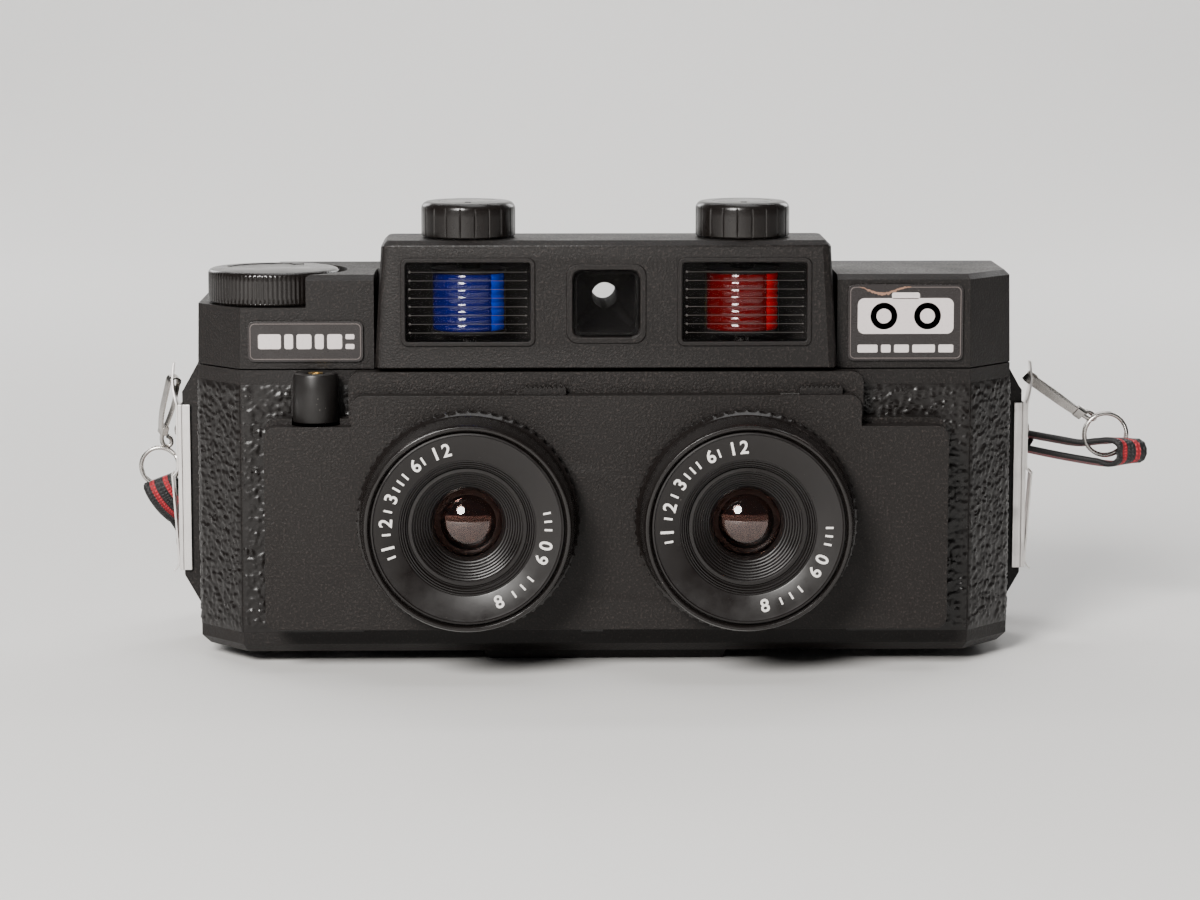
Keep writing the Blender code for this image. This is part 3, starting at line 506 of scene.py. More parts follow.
def ribbon_mesh(points, wide_dirs):
    """Webbing with rounded edges; face materials 0 for black and 1 for its two coloured stripes."""
    half, thick = RIBBON_WIDE / 2, RIBBON_THICK / 2
    inner, outer = STRIPE
    across = [-half, -half + EDGE_FLAT, -outer, -inner, inner, outer, half - EDGE_FLAT, half]
    section = [(w, thick if abs(w) < half else thick * 0.3) for w in across]
    section += [(w, -h) for w, h in reversed(section)]
    bm = bmesh.new()
    uv = bm.loops.layers.uv.new("ribbon")
    loops = []
    runs = []
    run = 0.0
    for i, p in enumerate(points):
        tangent = tangent_at(points, i)
        wide = square_to(wide_dirs[i], tangent)
        normal = tangent.cross(wide)
        loops.append([bm.verts.new(p + wide * w + normal * h) for w, h in section])
        run += (p - points[i - 1]).length if i else 0.0
        runs.append(run)
    count = len(section)
    for i, (a, b) in enumerate(zip(loops, loops[1:])):
        for k in range(count):
            m = (k + 1) % count
            face = bm.faces.new((a[k], a[m], b[m], b[k]))
            middle = (section[k][0] + section[m][0]) / 2
            face.material_index = 1 if inner < abs(middle) < outer else 0
            face.smooth = True
            for loop, (v, w) in zip(face.loops, ((i, k), (i, m), (i + 1, m), (i + 1, k))):
                loop[uv].uv = (section[w][0] * MM, runs[v] * MM)
    bm.faces.new(list(reversed(loops[0])))
    bm.faces.new(loops[-1])
    return bm


def turning(points, keys):
    """Width directions blended between (fraction, direction) keys along the points."""
    out = []
    for i in range(len(points)):
        t = i / (len(points) - 1)
        for (t0, d0), (t1, d1) in zip(keys, keys[1:]):
            if t <= t1 or (t1, d1) == keys[-1]:
                f = min(1.0, max(0.0, (t - t0) / (t1 - t0)))
                f = f * f * (3 - 2 * f)
                out.append((Vector(d0) * (1 - f) + Vector(d1) * f).normalized())
                break
    return out


def hank_turns():
    """Two and a half turns of a racetrack that closes in by one pitch a turn, then a low hump
    over the outer turns to the other end."""
    half_x, mid_y, z = HANK
    straight = half_x - HANK_HALF_Y - 0.8
    points = []
    reach = HANK_HALF_Y
    for _ in range(2):
        for k in range(1, 9):
            points.append((straight - 2 * straight * k / 8, mid_y - reach, z))
        for k in range(1, 12):
            a = math.radians(270 - 180 * k / 12)
            points.append((-straight + reach * math.cos(a), mid_y + reach * math.sin(a), z))
        for k in range(9):
            points.append((-straight + 2 * straight * k / 8, mid_y + reach, z))
        inner = reach - HANK_PITCH
        for k in range(1, 13):
            a = math.radians(90 - 180 * k / 12)
            r = reach + (inner - reach) * k / 12
            points.append((straight + r * math.cos(a), mid_y + r * math.sin(a), z))
        reach = inner
    points += [(35.0, mid_y - reach, z), (15.0, mid_y - reach + 1.5, z), (-8.0, mid_y - 7.0, z)]
    hump = [(-28.0, -2.0, 6.4), (-44.0, 0.0, 9.3), (-57.0, 0.0, 11.0), (-66.0, 0.0, 11.0), (-73.0, 0.0, 8.0)]
    return points + [(x, mid_y + dy, height) for x, dy, height in hump]


def strap_cord(label, points, keys, webs, stands_for):
    """One half of the strap, a piece on no body whose place is baked into its mesh."""
    cord = add_piece("strap_" + label, ribbon_mesh(points, turning(points, keys)), webs, None, stands_for,
                     60)
    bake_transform(cord)
    length_of(points) * MM


def make_strap(webs, buckle_mat):
    """The right half with its folded hank, the left half, and the buckle between them."""
    up, back = (0, 0, 1), (0, 1, 0)
    adjuster, keeper = adjuster_buckle(buckle_mat)

    right = smooth_route(STRAP_ROUTES["right"] + hank_turns()[1:], 2.0)
    total = length_of(right)
    down = FREE_RUN / total
    flat_at = 1 - down
    keys = [(0.0, (0, 1, -0.2)), (0.3 * down, (0.3, 0.9, 0)), (down, (0.1, 0.6, 0.75)), (1.5 * down, up),
            (flat_at, up), (flat_at + 0.03, (0.0, 0.75, 0.65)), (flat_at + 0.055, back), (1.0, back)]
    strap_cord("right", right, keys, webs, ("strap_run_right", "strap_hank"))

    left = smooth_route(STRAP_ROUTES["left"], 2.0)
    keys = [(0.0, (0.85, 0.1, 0.5)), (0.5, (0.4, 0.9, 0)), (1.0, back)]
    strap_cord("left", left, keys, webs, ("strap_run_left",))


def adjuster_buckle(mat):
    """Slider that joins the two halves of the strap, and the bar that the left half ends at."""
    x, z = -75.5, 5.6
    pieces = []
    for name, x0, x1, radius, low, high in (("strap_adjuster", -3.0, 4.5, 1.2, -1.4, 1.8),
                                            ("strap_adjuster_bar", -5.6, -3.5, 0.9, -1.6, 1.5)):
        outline = rounded(x + x0, HANK.y - 6.0, x + x1, HANK.y + 6.0, radius)
        bm = prism(outline, z + low, z + high)
        pieces.append(bevel(add_piece(name, bm, mat, "root", ()), 0.5))
    return pieces


def strap_tie(mat):
    """Soft band round the middle of the hank."""
    low, high = corners("strap_tie")
    inner = 1.0
    ring = [(low.x, -0.25), (low.x + 0.5, 0.0), (high.x - 0.5, 0.0), (high.x, -0.25)]

    def section(x, swell, radius):
        outline = rounded(low.y - swell, low.z - swell, high.y + swell, high.z + swell, radius)
        return [(x, y, z) for y, z in outline]

    outer = [section(x, swell, 2.2) for x, swell in ring]
    core = [section(x, -inner, 1.4) for x, _ in reversed(ring)]
    add_piece("hank_tie", loft(outer + core, "joined"), mat, "root", ("strap_tie",), 50)


# ---------------------------------------------------------------- casing

GRAIN_Z = (7.7, 65.4)
GRAIN_SEED = 7                        # without a seed, Blender shifts its noise vectors in each run
FRONT_X, SIDE_X = 83.9, 94.6          # where the front ends and where the sides stand
FRONT_Y, CHAMFER_Y, BACK_Y = -22.0, -9.6, 27.0
BUTTON_X, BUTTON_Y = -66.3, -26.7


def grain_height(p):
    """Height of the leather grain in millimetres: smooth pebbles parted by narrow creases."""
    warp = noise.noise_vector(p * 0.55) * 0.9
    q = (p + warp) * 0.62
    stretched = Vector((q.x, q.y, q.z * 1.25))
    distances, _ = noise.voronoi(stretched)
    crease = min(1.0, (distances[1] - distances[0]) / 0.42)
    pebble = crease * crease * (3 - 2 * crease)
    fold = noise.noise(p * 0.9)
    return 0.05 + 0.42 * pebble * (0.75 + 0.45 * fold)


def grain_panel(name, place, outward, u_range, v_range, mat, cell=0.42, skip=None):
    """A skin with modelled grain; place(u, v) gives its base surface, and skip(u, v) its gaps."""
    (u0, u1), (v0, v1) = u_range, v_range
    columns = max(2, round((u1 - u0) / cell))
    rows = max(2, round((v1 - v0) / cell))
    out = Vector(outward)
    bm = bmesh.new()
    grid = []
    for i in range(columns + 1):
        line = []
        for k in range(rows + 1):
            u = u0 + (u1 - u0) * i / columns
            v = v0 + (v1 - v0) * k / rows
            p = place(u, v)
            rim = min((u - u0) / 0.7, (u1 - u) / 0.7, (v - v0) / 2.0, (v1 - v) / 2.0)
            fade = math.sin(math.pi / 2 * min(1.0, rim))
            line.append(bm.verts.new(p + out * (0.08 + grain_height(p) * fade)))
        grid.append(line)
    for i in range(columns):
        for k in range(rows):
            u = u0 + (u1 - u0) * (i + 0.5) / columns
            v = v0 + (v1 - v0) * (k + 0.5) / rows
            if skip and skip(u, v):
                continue
            bm.faces.new((grid[i][k], grid[i + 1][k], grid[i + 1][k + 1], grid[i][k + 1]))
    rim_edges = [e for e in bm.edges if len(e.link_faces) == 1]
    skirt = bmesh.ops.extrude_edge_only(bm, edges=rim_edges)["geom"]
    for item in skirt:
        if isinstance(item, bmesh.types.BMVert):
            item.co -= out * 0.5
    loose = [v for v in bm.verts if not v.link_faces]
    bmesh.ops.delete(bm, geom=loose, context="VERTS")
    add_piece(name, bm, mat, "root", (), 52)


def grain_panels(mat):
    """Leather-grain skins on the front, the slanted corners, the sides and the back."""
    noise.seed_set(GRAIN_SEED)
    slope = Vector((SIDE_X - FRONT_X, CHAMFER_Y - FRONT_Y))
    run = slope.length
    for label, side in SIDES:
        button = (lambda u, v: abs(u - BUTTON_X) < 6.0 and v > 53.0) if side < 0 else None
        span = sorted((side * 56.0, side * (FRONT_X - 0.2)))
        grain_panel("grain_front_" + label, lambda u, v: Vector((u, FRONT_Y, v)), (0, -1, 0), span, GRAIN_Z,
                    mat, skip=button)

        def chamfer(t, v, side=side):
            f = t / run
            return Vector((side * (FRONT_X + slope.x * f), FRONT_Y + slope.y * f, v))

        def flank(y, v, side=side):
            return Vector((side * SIDE_X, y, v))

        normal = Vector((side * slope.y, -slope.x, 0)).normalized()
        grain_panel("grain_corner_" + label, chamfer, normal, (0.25, run - 0.25), GRAIN_Z, mat)
        grain_panel("grain_side_" + label, flank, (side, 0, 0), (CHAMFER_Y + 0.25, 13.4), GRAIN_Z, mat)
    grain_panel("grain_back", lambda u, v: Vector((u, BACK_Y, v)), (0, 1, 0), (-84.5, 84.5), (8.0, 65.0), mat,
                cell=0.6, skip=lambda u, v: 29.0 < u < 61.0 and 25.0 < v < 47.0)


def casing(moulded, panel_mat):
    """The big mouldings keep their CAD shape with round edges."""
    for node, width, segments in (("body_shell", 0.9, 3), ("top_cover", 0.9, 3), ("flash_housing", 0.7, 3),
                                  ("back_cover", 0.6, 2), ("tripod_foot", 0.4, 2)):
        softened(node, moulded, width, segments)
    for node, width in (("shutter_base", 0.8), ("lens_panel", 0.9)):
        softened(node, panel_mat, width, 3)


# ---------------------------------------------------------------- lenses

LENS_X, LENS_Z = 31.5, 36.0
LENS_FRONT, LENS_REAR = -49.0, -33.4
LENS_TWIST = {"left": 11.0, "right": 0.0}    # degrees each dial is turned by


def focus_ring(label, side, mat):
    """Smooth cone with a lip at the front and a ribbed grip at the rear."""
    x = side * LENS_X
    ribs = 60
    grip = (LENS_REAR - 5.2, LENS_REAR - 0.5)

    def ripple(a, r, y):
        if r < 24.9 or not grip[0] < y < grip[1]:
            return r
        wave = math.cos(ribs * a)
        return r + 0.32 * max(-1.0, min(1.0, 1.6 * wave)) - 0.2

    profile = [(21.3, LENS_REAR), (21.3, LENS_FRONT + 1.7), (22.0, LENS_FRONT + 1.5),
               (22.15, LENS_FRONT + 0.35)]
    for i in range(5):
        a = math.radians(180 - 180 * i / 4)
        profile.append((22.75 + 0.5 * math.cos(a), LENS_FRONT + 0.45 - 0.42 * math.sin(a)))
    profile += [(23.5, LENS_FRONT + 1.2), (23.75, LENS_FRONT + 3.5), (24.15, LENS_FRONT + 7.0),
                (24.3, LENS_REAR - 6.3), (24.45, LENS_REAR - 5.7), (25.0, LENS_REAR - 5.3)]
    for k in range(7):
        profile.append((25.2, LENS_REAR - 5.0 + 4.4 * k / 6))
    profile += [(24.9, LENS_REAR - 0.25), (24.4, LENS_REAR)]
    bm = turned(profile[::-1], (x, 0, LENS_Z), "Y", ribs * 8, ripple)
    add_piece("focus_grip_" + label, bm, mat, "focus_" + label, ("focus_ring_" + label,), 40)


def lens_bezel(label, side, mat):
    """Dished name ring with turned grooves on its inner edge."""
    profile = [(21.9, 1.45), (21.6, 0.62), (21.25, 0.55), (21.05, 0.95), (20.6, 1.05), (15.6, 1.5)]
    r, y = 15.4, 1.62
    for _ in range(3):
        profile += [(r, y), (r - 0.12, y + 0.28), (r - 0.34, y + 0.3), (r - 0.44, y + 0.08)]
        r -= 0.5
        y += 0.28
    profile += [(13.9, 2.45), (13.75, 3.0), (14.2, 3.3), (21.0, 3.3), (21.2, 1.6)]
    bm = turned(profile[::-1], (side * LENS_X, LENS_FRONT, LENS_Z), "Y", 160)
    add_piece("name_ring_" + label, bm, mat, "focus_" + label, ("lens_bezel_" + label,), 28)


def lens_cell(label, side, mat):
    """Inner barrel: a flat ring, then a fine-stepped cone.  Returns the depth where the glass sits."""
    profile = [(19.1, 20.4), (19.1, 3.5), (13.55, 3.5), (13.3, 3.25), (12.6, 3.2), (12.35, 3.4)]
    r, y = 12.3, 3.6
    for k in range(7):
        fall = 0.5 if k < 4 else 0.85
        profile += [(r, y), (r - 0.1, y + fall), (r - 0.34, y + fall + 0.08), (r - 0.5, y + fall - 0.06)]
        r -= 0.56
        y += fall
    profile += [(8.35, y + 0.1), (8.1, y + 0.5), (7.75, y + 1.3), (7.75, y + 1.7), (8.0, y + 1.75),
                (8.0, 13.8), (15.4, 13.8), (15.4, 20.4)]
    bm = turned(profile[::-1], (side * LENS_X, LENS_FRONT, LENS_Z), "Y", 144)
    add_piece("barrel_" + label, bm, mat, "lens_" + label, ("lens_cell_" + label,), 28)
    return y + 1.75


def dome(radius, rim, base, thickness):
    """Profile of a thin curved glass that bulges to the front, for turned()."""
    steps = 12
    sag = radius - math.sqrt(radius ** 2 - rim ** 2)
    front = []
    for k in range(steps + 1):
        r = rim * k / steps
        front.append((r, base - sag + radius - math.sqrt(radius ** 2 - r ** 2)))
    return front + [(r, y + thickness) for r, y in reversed(front)]


def lens_glass(label, side, seat, glass, ring_mat):
    """A bulging front glass, a flatter inner one, and rings between them and the blade."""
    at = (side * LENS_X, LENS_FRONT, LENS_Z)
    bm = turned(dome(9.6, 7.7, seat, 0.8), at, "Y", 72)
    add_piece("front_glass_" + label, bm, glass, "lens_" + label, ("lens_glass_" + label,), 40)
    bm = turned(dome(16.0, 6.0, seat + 2.6, 0.7), at, "Y", 64)
    add_piece("inner_glass_" + label, bm, glass, "lens_" + label, (), 40)
    for k, (hole, y) in enumerate(((6.1, seat + 1.0), (5.2, seat + 3.6), (4.1, seat + 4.4))):
        ring = [(hole, y), (hole, y + 0.2), (7.9, y + 0.3), (7.9, y)]
        name = "lens_ring_%s_%d" % (label, k + 1)
        add_piece(name, turned(ring, at, "Y", 64), ring_mat, "lens_" + label, (), 30)


def character(text, size, depth):
    """One figure as a bmesh in millimetres, centred, lying in the XY plane."""
    curve = bpy.data.curves.new("figure", "FONT")
    curve.body = text
    curve.size = size
    curve.extrude = depth / 2
    curve.offset = size * 0.018
    curve.align_x = "CENTER"
    curve.align_y = "CENTER"
    curve.resolution_u = 4
    obj = bpy.data.objects.new("figure", curve)
    bpy.context.collection.objects.link(obj)
    bpy.context.view_layer.update()
    mesh = bpy.data.meshes.new_from_object(obj)
    bm = bmesh.new()
    bm.from_mesh(mesh)
    bpy.data.objects.remove(obj)
    bpy.data.curves.remove(curve)
    bpy.data.meshes.remove(mesh)
    return bm


def lens_marks(label, side, ink):
    """Generic dial: distance figures, scale ticks, the focal length and the aperture number."""
    twist = LENS_TWIST[label]
    x, radius, size = side * LENS_X, 18.15, 4.1
    plane = LENS_FRONT + 1.13
    outward = (("1", 183), ("2", 165), ("3", 147), ("6", 118), ("1", 101.5), ("2", 93.5))
    inward = (("8", -78), ("6", -34), ("0", -23.5))
    parts = []
    for text, degrees in outward + inward:
        a = math.radians(degrees + twist)
        radial = Vector((math.cos(a), 0, math.sin(a)))
        along = Vector((math.sin(a), 0, -math.cos(a)))
        flip = -1 if (text, degrees) in inward else 1
        bm = character(text, size, 0.16)
        place = Matrix((along * flip, radial * flip, Vector((0, -1, 0)))).transposed().to_4x4()
        place.translation = Vector((x, plane, LENS_Z)) + radial * radius
        bm.transform(place)
        parts.append(bm)
    for k in range(19):
        degrees = 190 - 5.6 * k
        if any(abs(degrees - d) < 5.0 for _, d in outward):
            continue
        parts.append(tick(x, plane, degrees + twist, 17.2, 19.1))
    for degrees in (-66, -58, -50, -12, -6, 0):
        parts.append(tick(x, plane, degrees + twist, 17.3, 19.0))
    add_piece("dial_" + label, merged(*parts), ink, "focus_" + label, ())


def tick(x, plane, degrees, inner, outer):
    """A radial dash on the dial."""
    a = math.radians(degrees)
    radial = Vector((math.cos(a), 0, math.sin(a)))
    across = Vector((-math.sin(a), 0, math.cos(a))) * 0.22
    at = Vector((x, 0, LENS_Z))
    outline = [at + radial * inner - across, at + radial * outer - across,
               at + radial * outer + across, at + radial * inner + across]
    return loft([[p + Vector((0, plane + dy, 0)) for p in outline] for dy in (0.08, -0.08)])


def lenses(gloss, barrel_mat, glass, ink):
    """Both lenses, from the focusing ring in to the glass."""
    for label, side in SIDES:
        focus_ring(label, side, gloss)
        lens_bezel(label, side, barrel_mat)
        seat = lens_cell(label, side, barrel_mat)
        lens_glass(label, side, seat, glass, barrel_mat)
        lens_marks(label, side, ink)


# ---------------------------------------------------------------- flash, finder and knobs

FLASH_Y = -16.1
HUMP_FRONT = -27.6
DRUM_LOW, DRUM_TOP = 76.9, 91.8
DRUM_STATIONS = ((192, 348), (348, 450), (90, 192))    # first and last angle of each colour pane
DRUM_COLOURS = {"left": ("blue", "yellow", "red"), "right": ("red", "blue", "yellow")}
PAINTED_LIGHT_FROM = 309                        # from here on the front pane is a lighter copy of its colour: painted light where the foil shines through
PANE_GAP, POST_HALF = 4.584, 4.011    # degrees from a post's middle to the pane and to the post's side
WING_AT, WING_HALF = -38, 9.167       # the strip of foil beside the tube, in degrees


def flash_window(label, clear, rib_highlight_mat, rim_mat):
    """Ribbed clear pane with a grey crest on each rib and a bead at its ends, painted highlights where the
    clear ribs catch the light, and the raised moulded rim round it.
    """
    low, high = corners("flash_window_" + label)
    ribs = 9
    front = low.y + 0.15
    rear = low.y + 1.7
    outline = [(rear, high.z), (rear, low.z), (front, low.z)]
    pitch = (high.z - low.z) / ribs
    for i in range(ribs - 1):
        z = low.z + (i + 1) * pitch
        outline += [(front, z - 0.2), (front - 0.22, z - 0.1), (front - 0.22, z + 0.1), (front, z + 0.2)]
    outline.append((front, high.z))
    add_piece("flash_pane_" + label, prism(outline, low.x, high.x, "X"), clear, "root",
              ("flash_window_" + label,), 30)
    rows = []
    # Grey crest lines and end beads: painted highlights of the light on the clear ribs.
    for i in range(ribs - 1):
        z = low.z + (i + 1) * pitch
        crest = [(front - 0.2, z - 0.06), (front - 0.3, z), (front - 0.2, z + 0.06)]
        rows.append(prism(crest, low.x + 0.6, high.x - 0.6, "X"))
        for edge, r in ((low.x + 0.9, 0.26), (high.x - 0.9, 0.16)):
            bead = [(0, -0.3), (r, -0.1), (r, 0.1), (0, 0.3)]
            rows.append(turned(bead, (edge, front - 0.1, z), "Y", 12))
    add_piece("flash_rib_highlights_" + label, merged(*rows), rib_highlight_mat, "root", (), 60)
    outer = rounded(low.x - 1.2, low.z - 1.2, high.x + 1.2, high.z + 1.2, 1.6)
    inner = rounded(low.x - 0.1, low.z - 0.1, high.x + 0.1, high.z + 0.1, 0.7)
    frame_ring("flash_rim_" + label, outer, inner, HUMP_FRONT - 0.45, HUMP_FRONT + 0.2, rim_mat)


def frame_ring(name, outer, inner, front, rear, mat, width=0.25):
    """A flat frame between two outlines of equal point count."""
    rings = []
    for outline, y in ((outer, rear), (outer, front), (inner, front), (inner, rear)):
        rings.append([(x, y, z) for x, z in outline])
    bevel(add_piece(name, loft(rings, "joined"), mat, "root", ()), width)


def filter_drum(label, side, dark, panes):
    """Cage with three colour panes that close the circle round the flash tube."""
    at = (side * LENS_X, FLASH_Y, 0)
    lid = ((0, 1.2), (3.0, 1.2), (3.0, 0.9), (8.6, 0.9), (8.6, 0), (0, 0))
    parts = [turned([(r, DRUM_TOP - drop) for r, drop in lid], at, "Z", 64)]
    foot = [(7.5, DRUM_LOW), (8.6, DRUM_LOW), (8.6, DRUM_LOW + 0.8), (7.5, DRUM_LOW + 0.8)]
    parts.append(turned(foot, at, "Z", 64))
    parts.append(turned([(0, DRUM_TOP - 0.5), (2.8, DRUM_TOP - 0.5), (2.8, 98.7), (0, 98.7)], at, "Z", 32))
    for start, _ in DRUM_STATIONS:
        outline = tube_part(at, 8.55, 7.6, start - POST_HALF, start + POST_HALF, 3)
        parts.append(prism(outline, DRUM_LOW + 0.5, DRUM_TOP - 0.6))
    add_piece("drum_cage_" + label, merged(*parts), dark, "flash_filter_" + label, ("filter_drum_" + label,),
              40)
    for station, (colour, (start, end)) in enumerate(zip(DRUM_COLOURS[label], DRUM_STATIONS)):
        first, last = start + PANE_GAP, end - PANE_GAP
        arcs = [(colour, first, last)]
        # The front pane's right part is a lighter copy of its colour: painted light standing in for the
        # foil's light through it.
        if station == 0:
            arcs = [(colour, first, PAINTED_LIGHT_FROM), (colour + "_painted_light", PAINTED_LIGHT_FROM, last)]
        for shade, a0, a1 in arcs:
            add_piece("pane_%s_%s" % (shade, label), banded_pane(at, a0, a1), panes[shade],
                      "flash_filter_" + label, (), 40)


def banded_pane(at, first, last):
    """Part of a tube whose outside swells into shallow level bands; angles in degrees."""
    inner, outer, bands, sag = 7.7, 8.52, 8, 0.2
    low, top = DRUM_LOW + 0.85, DRUM_TOP - 1.0
    profile = [(inner, top), (inner, low)]
    pitch = (top - low) / bands
    for i in range(bands):
        for t in (k / 6 for k in range(7)):
            profile.append((outer - 4 * sag * (t - 0.5) ** 2, low + pitch * (i + 0.02 + 0.96 * t)))
    steps = max(8, round((last - first) / 4))
    columns = [arc(at, r, first, last, steps) for r, _ in profile]
    rings = [[(x, y, z) for (x, y), (_, z) in zip(ring, profile)] for ring in zip(*columns)]
    return loft(rings)


def flash_lamp(label, side, chrome, foil, glass, metal_mat):
    """Trough reflector with pressed flutes, a strip of rough foil, the flash tube and its end caps."""
    x = side * LENS_X
    high = corners("flash_reflector_" + label)[1]
    steps = 48
    outline = []
    for r, order in ((7.0, range(steps + 1)), (6.7, range(steps, -1, -1))):
        for k in order:
            a = math.radians(-8 + 196 * k / steps)
            flute = 0.16 * abs(math.sin(steps / 4 * a)) if r < 6.9 else 0.0
            outline.append((x + (r + flute) * math.cos(a), FLASH_Y + (r + flute) * math.sin(a)))
    add_piece("reflector_" + label, prism(outline, DRUM_LOW + 1.2, high.z), chrome, "root",
              ("flash_reflector_" + label,), 25)
    at = (x, FLASH_Y, 0)
    z0, z1 = (corner.z for corner in corners("flash_tube_" + label))
    tube = [(0, z0 + 1.5), (1.5, z0 + 1.5), (1.5, z1 - 1.5), (0, z1 - 1.5)]
    add_piece("tube_" + label, turned(tube, at, "Z", 32), glass, "root", ("flash_tube_" + label,))
    strip = tube_part(at, 7.1, 6.8, WING_AT - WING_HALF, WING_AT + WING_HALF, 6)
    add_piece("reflector_wing_" + label, prism(strip, DRUM_LOW + 1.2, z1 - 0.6), foil, "root", (),
              40)
    caps = []
    for a, b in ((z0, z0 + 1.4), (z1 - 1.4, z1)):
        caps.append(turned([(0, a), (1.6, a), (1.6, b), (0, b)], at, "Z", 32))
    add_piece("tube_caps_" + label, merged(*caps), metal_mat, "root", ())


def lamp_floor(label, side, mat):
    """Black shield between the circuit board and the filter drum."""
    low, high = corners("flash_circuit_board")
    near, far = sorted((side * 13.0, side * high.x))
    outline = [(near, low.y), (far, low.y), (far, high.y), (near, high.y)]
    plate = prism(outline, high.z + 0.2, high.z + 0.8)
    lip = prism([(near, low.y - 0.6), (far, low.y - 0.6), (far, low.y - 0.2), (near, low.y - 0.2)],
                low.z, high.z + 0.8)
    add_piece("lamp_floor_" + label, merged(plate, lip), mat, "root", ())


def flash_knob(label, side, mat):
    """Round knob with a grooved side and a soft top edge."""
    at = (side * LENS_X, FLASH_Y, 0)
    low, high = corners("flash_knob_" + label)
    grooves = 20

    def ripple(a, r, z):
        if r < 9.5 or z < low.z + 0.1 or z > high.z - 1.7:
            return r
        phase = (a * grooves / (2 * math.pi)) % 1.0
        dip = max(0.0, 1.0 - abs(phase - 0.5) / 0.06)
        return r - 0.22 * dip

    radius, rim, top = 10.8, 1.7, high.z
    profile = [(0, low.z), (radius - 0.3, low.z), (radius, low.z + 0.3)]
    profile += [(radius, low.z + 0.3 + (top - rim - low.z - 0.3) * k / 4) for k in range(1, 5)]
    profile += arc((radius - rim, top - rim), rim, 15, 90, 5)
    profile += [(6.9, top), (6.8, top - 0.15), (6.55, top - 0.15), (6.45, top), (0, top)]
    add_piece("knob_" + label, turned(profile, at, "Z", grooves * 24, ripple), mat, "flash_filter_" + label,
              ("flash_knob_" + label,), 40)
    arrow = [(at[0] + x, at[1] + y) for x, y in ((-0.7, -5.6), (0.7, -5.6), (0, -3.2))]
    add_piece("knob_pointer_" + label, prism(arrow, top - 0.1, top + 0.12), mat, "flash_filter_" + label, ())


WINDER_AT = (-77.0, -6.0, 0)


def winder_knob(mat):
    """Low thumb wheel with a ribbed side and a thin raised arrow that curves over its top."""
    low, high = corners("winder_knob")
    at = WINDER_AT
    base, top = 83.4, high.z
    ribs = 90

    def ripple(a, r, z):
        if r < 15.0 or not base + 0.5 < z < top - 0.9:
            return r
        return r - 0.07 + 0.07 * math.cos(ribs * a)

    profile = [(0, low.z), (4.5, low.z), (4.5, base), (14.9, base), (15.2, base + 0.35)]
    profile += [(15.25, base + 0.6 + (top - 1.6 - base) * k / 5) for k in range(6)]
    profile += [(15.1, top - 0.55), (14.8, top - 0.2), (14.3, top), (0, top)]
    add_piece("winder_wheel", turned(profile, at, "Z", ribs * 6, ripple), mat, "winder", ("winder_knob",),
              40)
    shaft = tube_part(at, 11.8, 10.9, 70, 160, 18)
    head = [arc(at, r, degrees, degrees, 1)[0] for r, degrees in ((13.2, 69), (9.5, 69), (11.35, 55))]
    arrow = merged(*[prism(outline, top - 0.1, top + 0.14) for outline in (shaft, head)])
    add_piece("winder_arrow", arrow, mat, "winder", ())


FINDER_Z = 84.5


def finder_outline(half, radius):
    """Rounded square round the finder's axis."""
    return rounded(-half, FINDER_Z - half, half, FINDER_Z + half, radius)


def square_ring(half, radius, y):
    """The finder's outline at a depth."""
    return [(x, y, z) for x, z in finder_outline(half, radius)]


def round_ring(radius, y):
    """As many points as square_ring gives, spread evenly round a circle."""
    count = 4 * (CORNER_STEPS + 1)
    half_step = 180 / count
    return [(x, y, z) for x, z in arc((0, FINDER_Z), radius, half_step, 360 - half_step, count - 1)]


def viewfinder(clear, glass, dark, moulded):
    """Window, a thin curved glass, the tunnel behind them and the eyepiece."""
    y = HUMP_FRONT
    bm = prism(finder_outline(7.3, 1.8), y + 0.3, y + 1.5, "Y")
    bevel(add_piece("finder_pane", bm, clear, "root", ("viewfinder_window",)), 0.2)
    bm = turned(dome(8.5, 6.2, y + 5.6, 0.5), (0, 0, FINDER_Z), "Y", 64)
    add_piece("finder_glass", bm, glass, "root", (), 40)
    frame_ring("finder_rim", finder_outline(9.1, 2.6), finder_outline(7.7, 2.0), y - 0.35, y + 0.2,
               moulded, 0.3)
    rear = corners("viewfinder_tube")[1].y
    neck = -7.4
    outside = [square_ring(7.4, 1.5, y + 1.8), square_ring(7.2, 1.5, neck - 6), round_ring(4.4, neck),
               round_ring(4.4, rear)]
    inside = [round_ring(2.9, rear), round_ring(3.0, neck + 0.5), square_ring(6.5, 1.2, neck - 6.5),
              square_ring(6.7, 1.2, y + 1.8)]
    add_piece("finder_tunnel", loft(outside + inside, "joined"), dark, "root", ("viewfinder_tube",),
              30)
    eye = [(3.5, rear - 1.0), (4.2, rear - 1.0), (5.6, rear - 0.4), (5.6, rear + 0.4), (5.1, rear + 0.8),
           (3.9, rear + 0.8), (3.5, rear + 0.3)]
    add_piece("eyepiece_rim", turned(eye, (0, 0, FINDER_Z), "Y", 64), moulded, "root", ())


def shutter_button(mat, brass):
    """Dished button with a threaded socket for a cable release."""
    at = (BUTTON_X, BUTTON_Y, 0)
    low, high = corners("shutter_button")
    top = high.z
    profile = [(0, low.z), (5.2, low.z), (5.3, low.z + 0.2)]
    dish = ((5.05, 0.9), (4.85, 0.3), (4.4, 0.02), (3.2, 0.12), (2.2, 0.35), (2.0, 0.5), (2.0, 4.0), (0, 4.0))
    profile += [(r, top - drop) for r, drop in dish]
    add_piece("release_button", turned(profile, at, "Z", 96), mat, "shutter_button", ("shutter_button",),
              35)
    socket = [(1.7, top - 3.6), (1.7, top - 0.1)]
    for k in range(7):
        z = top - 0.2 - 0.5 * k
        socket += [(0.95, z), (1.2, z - 0.25)]
    bm = turned(socket[::-1], at, "Z", 40)
    add_piece("cable_socket", bm, brass, "shutter_button", ("release_socket",))


def return_spring():
    """The spring under the button gets a mesh of its own."""
    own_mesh(frame["nodes"]["shutter_spring"])


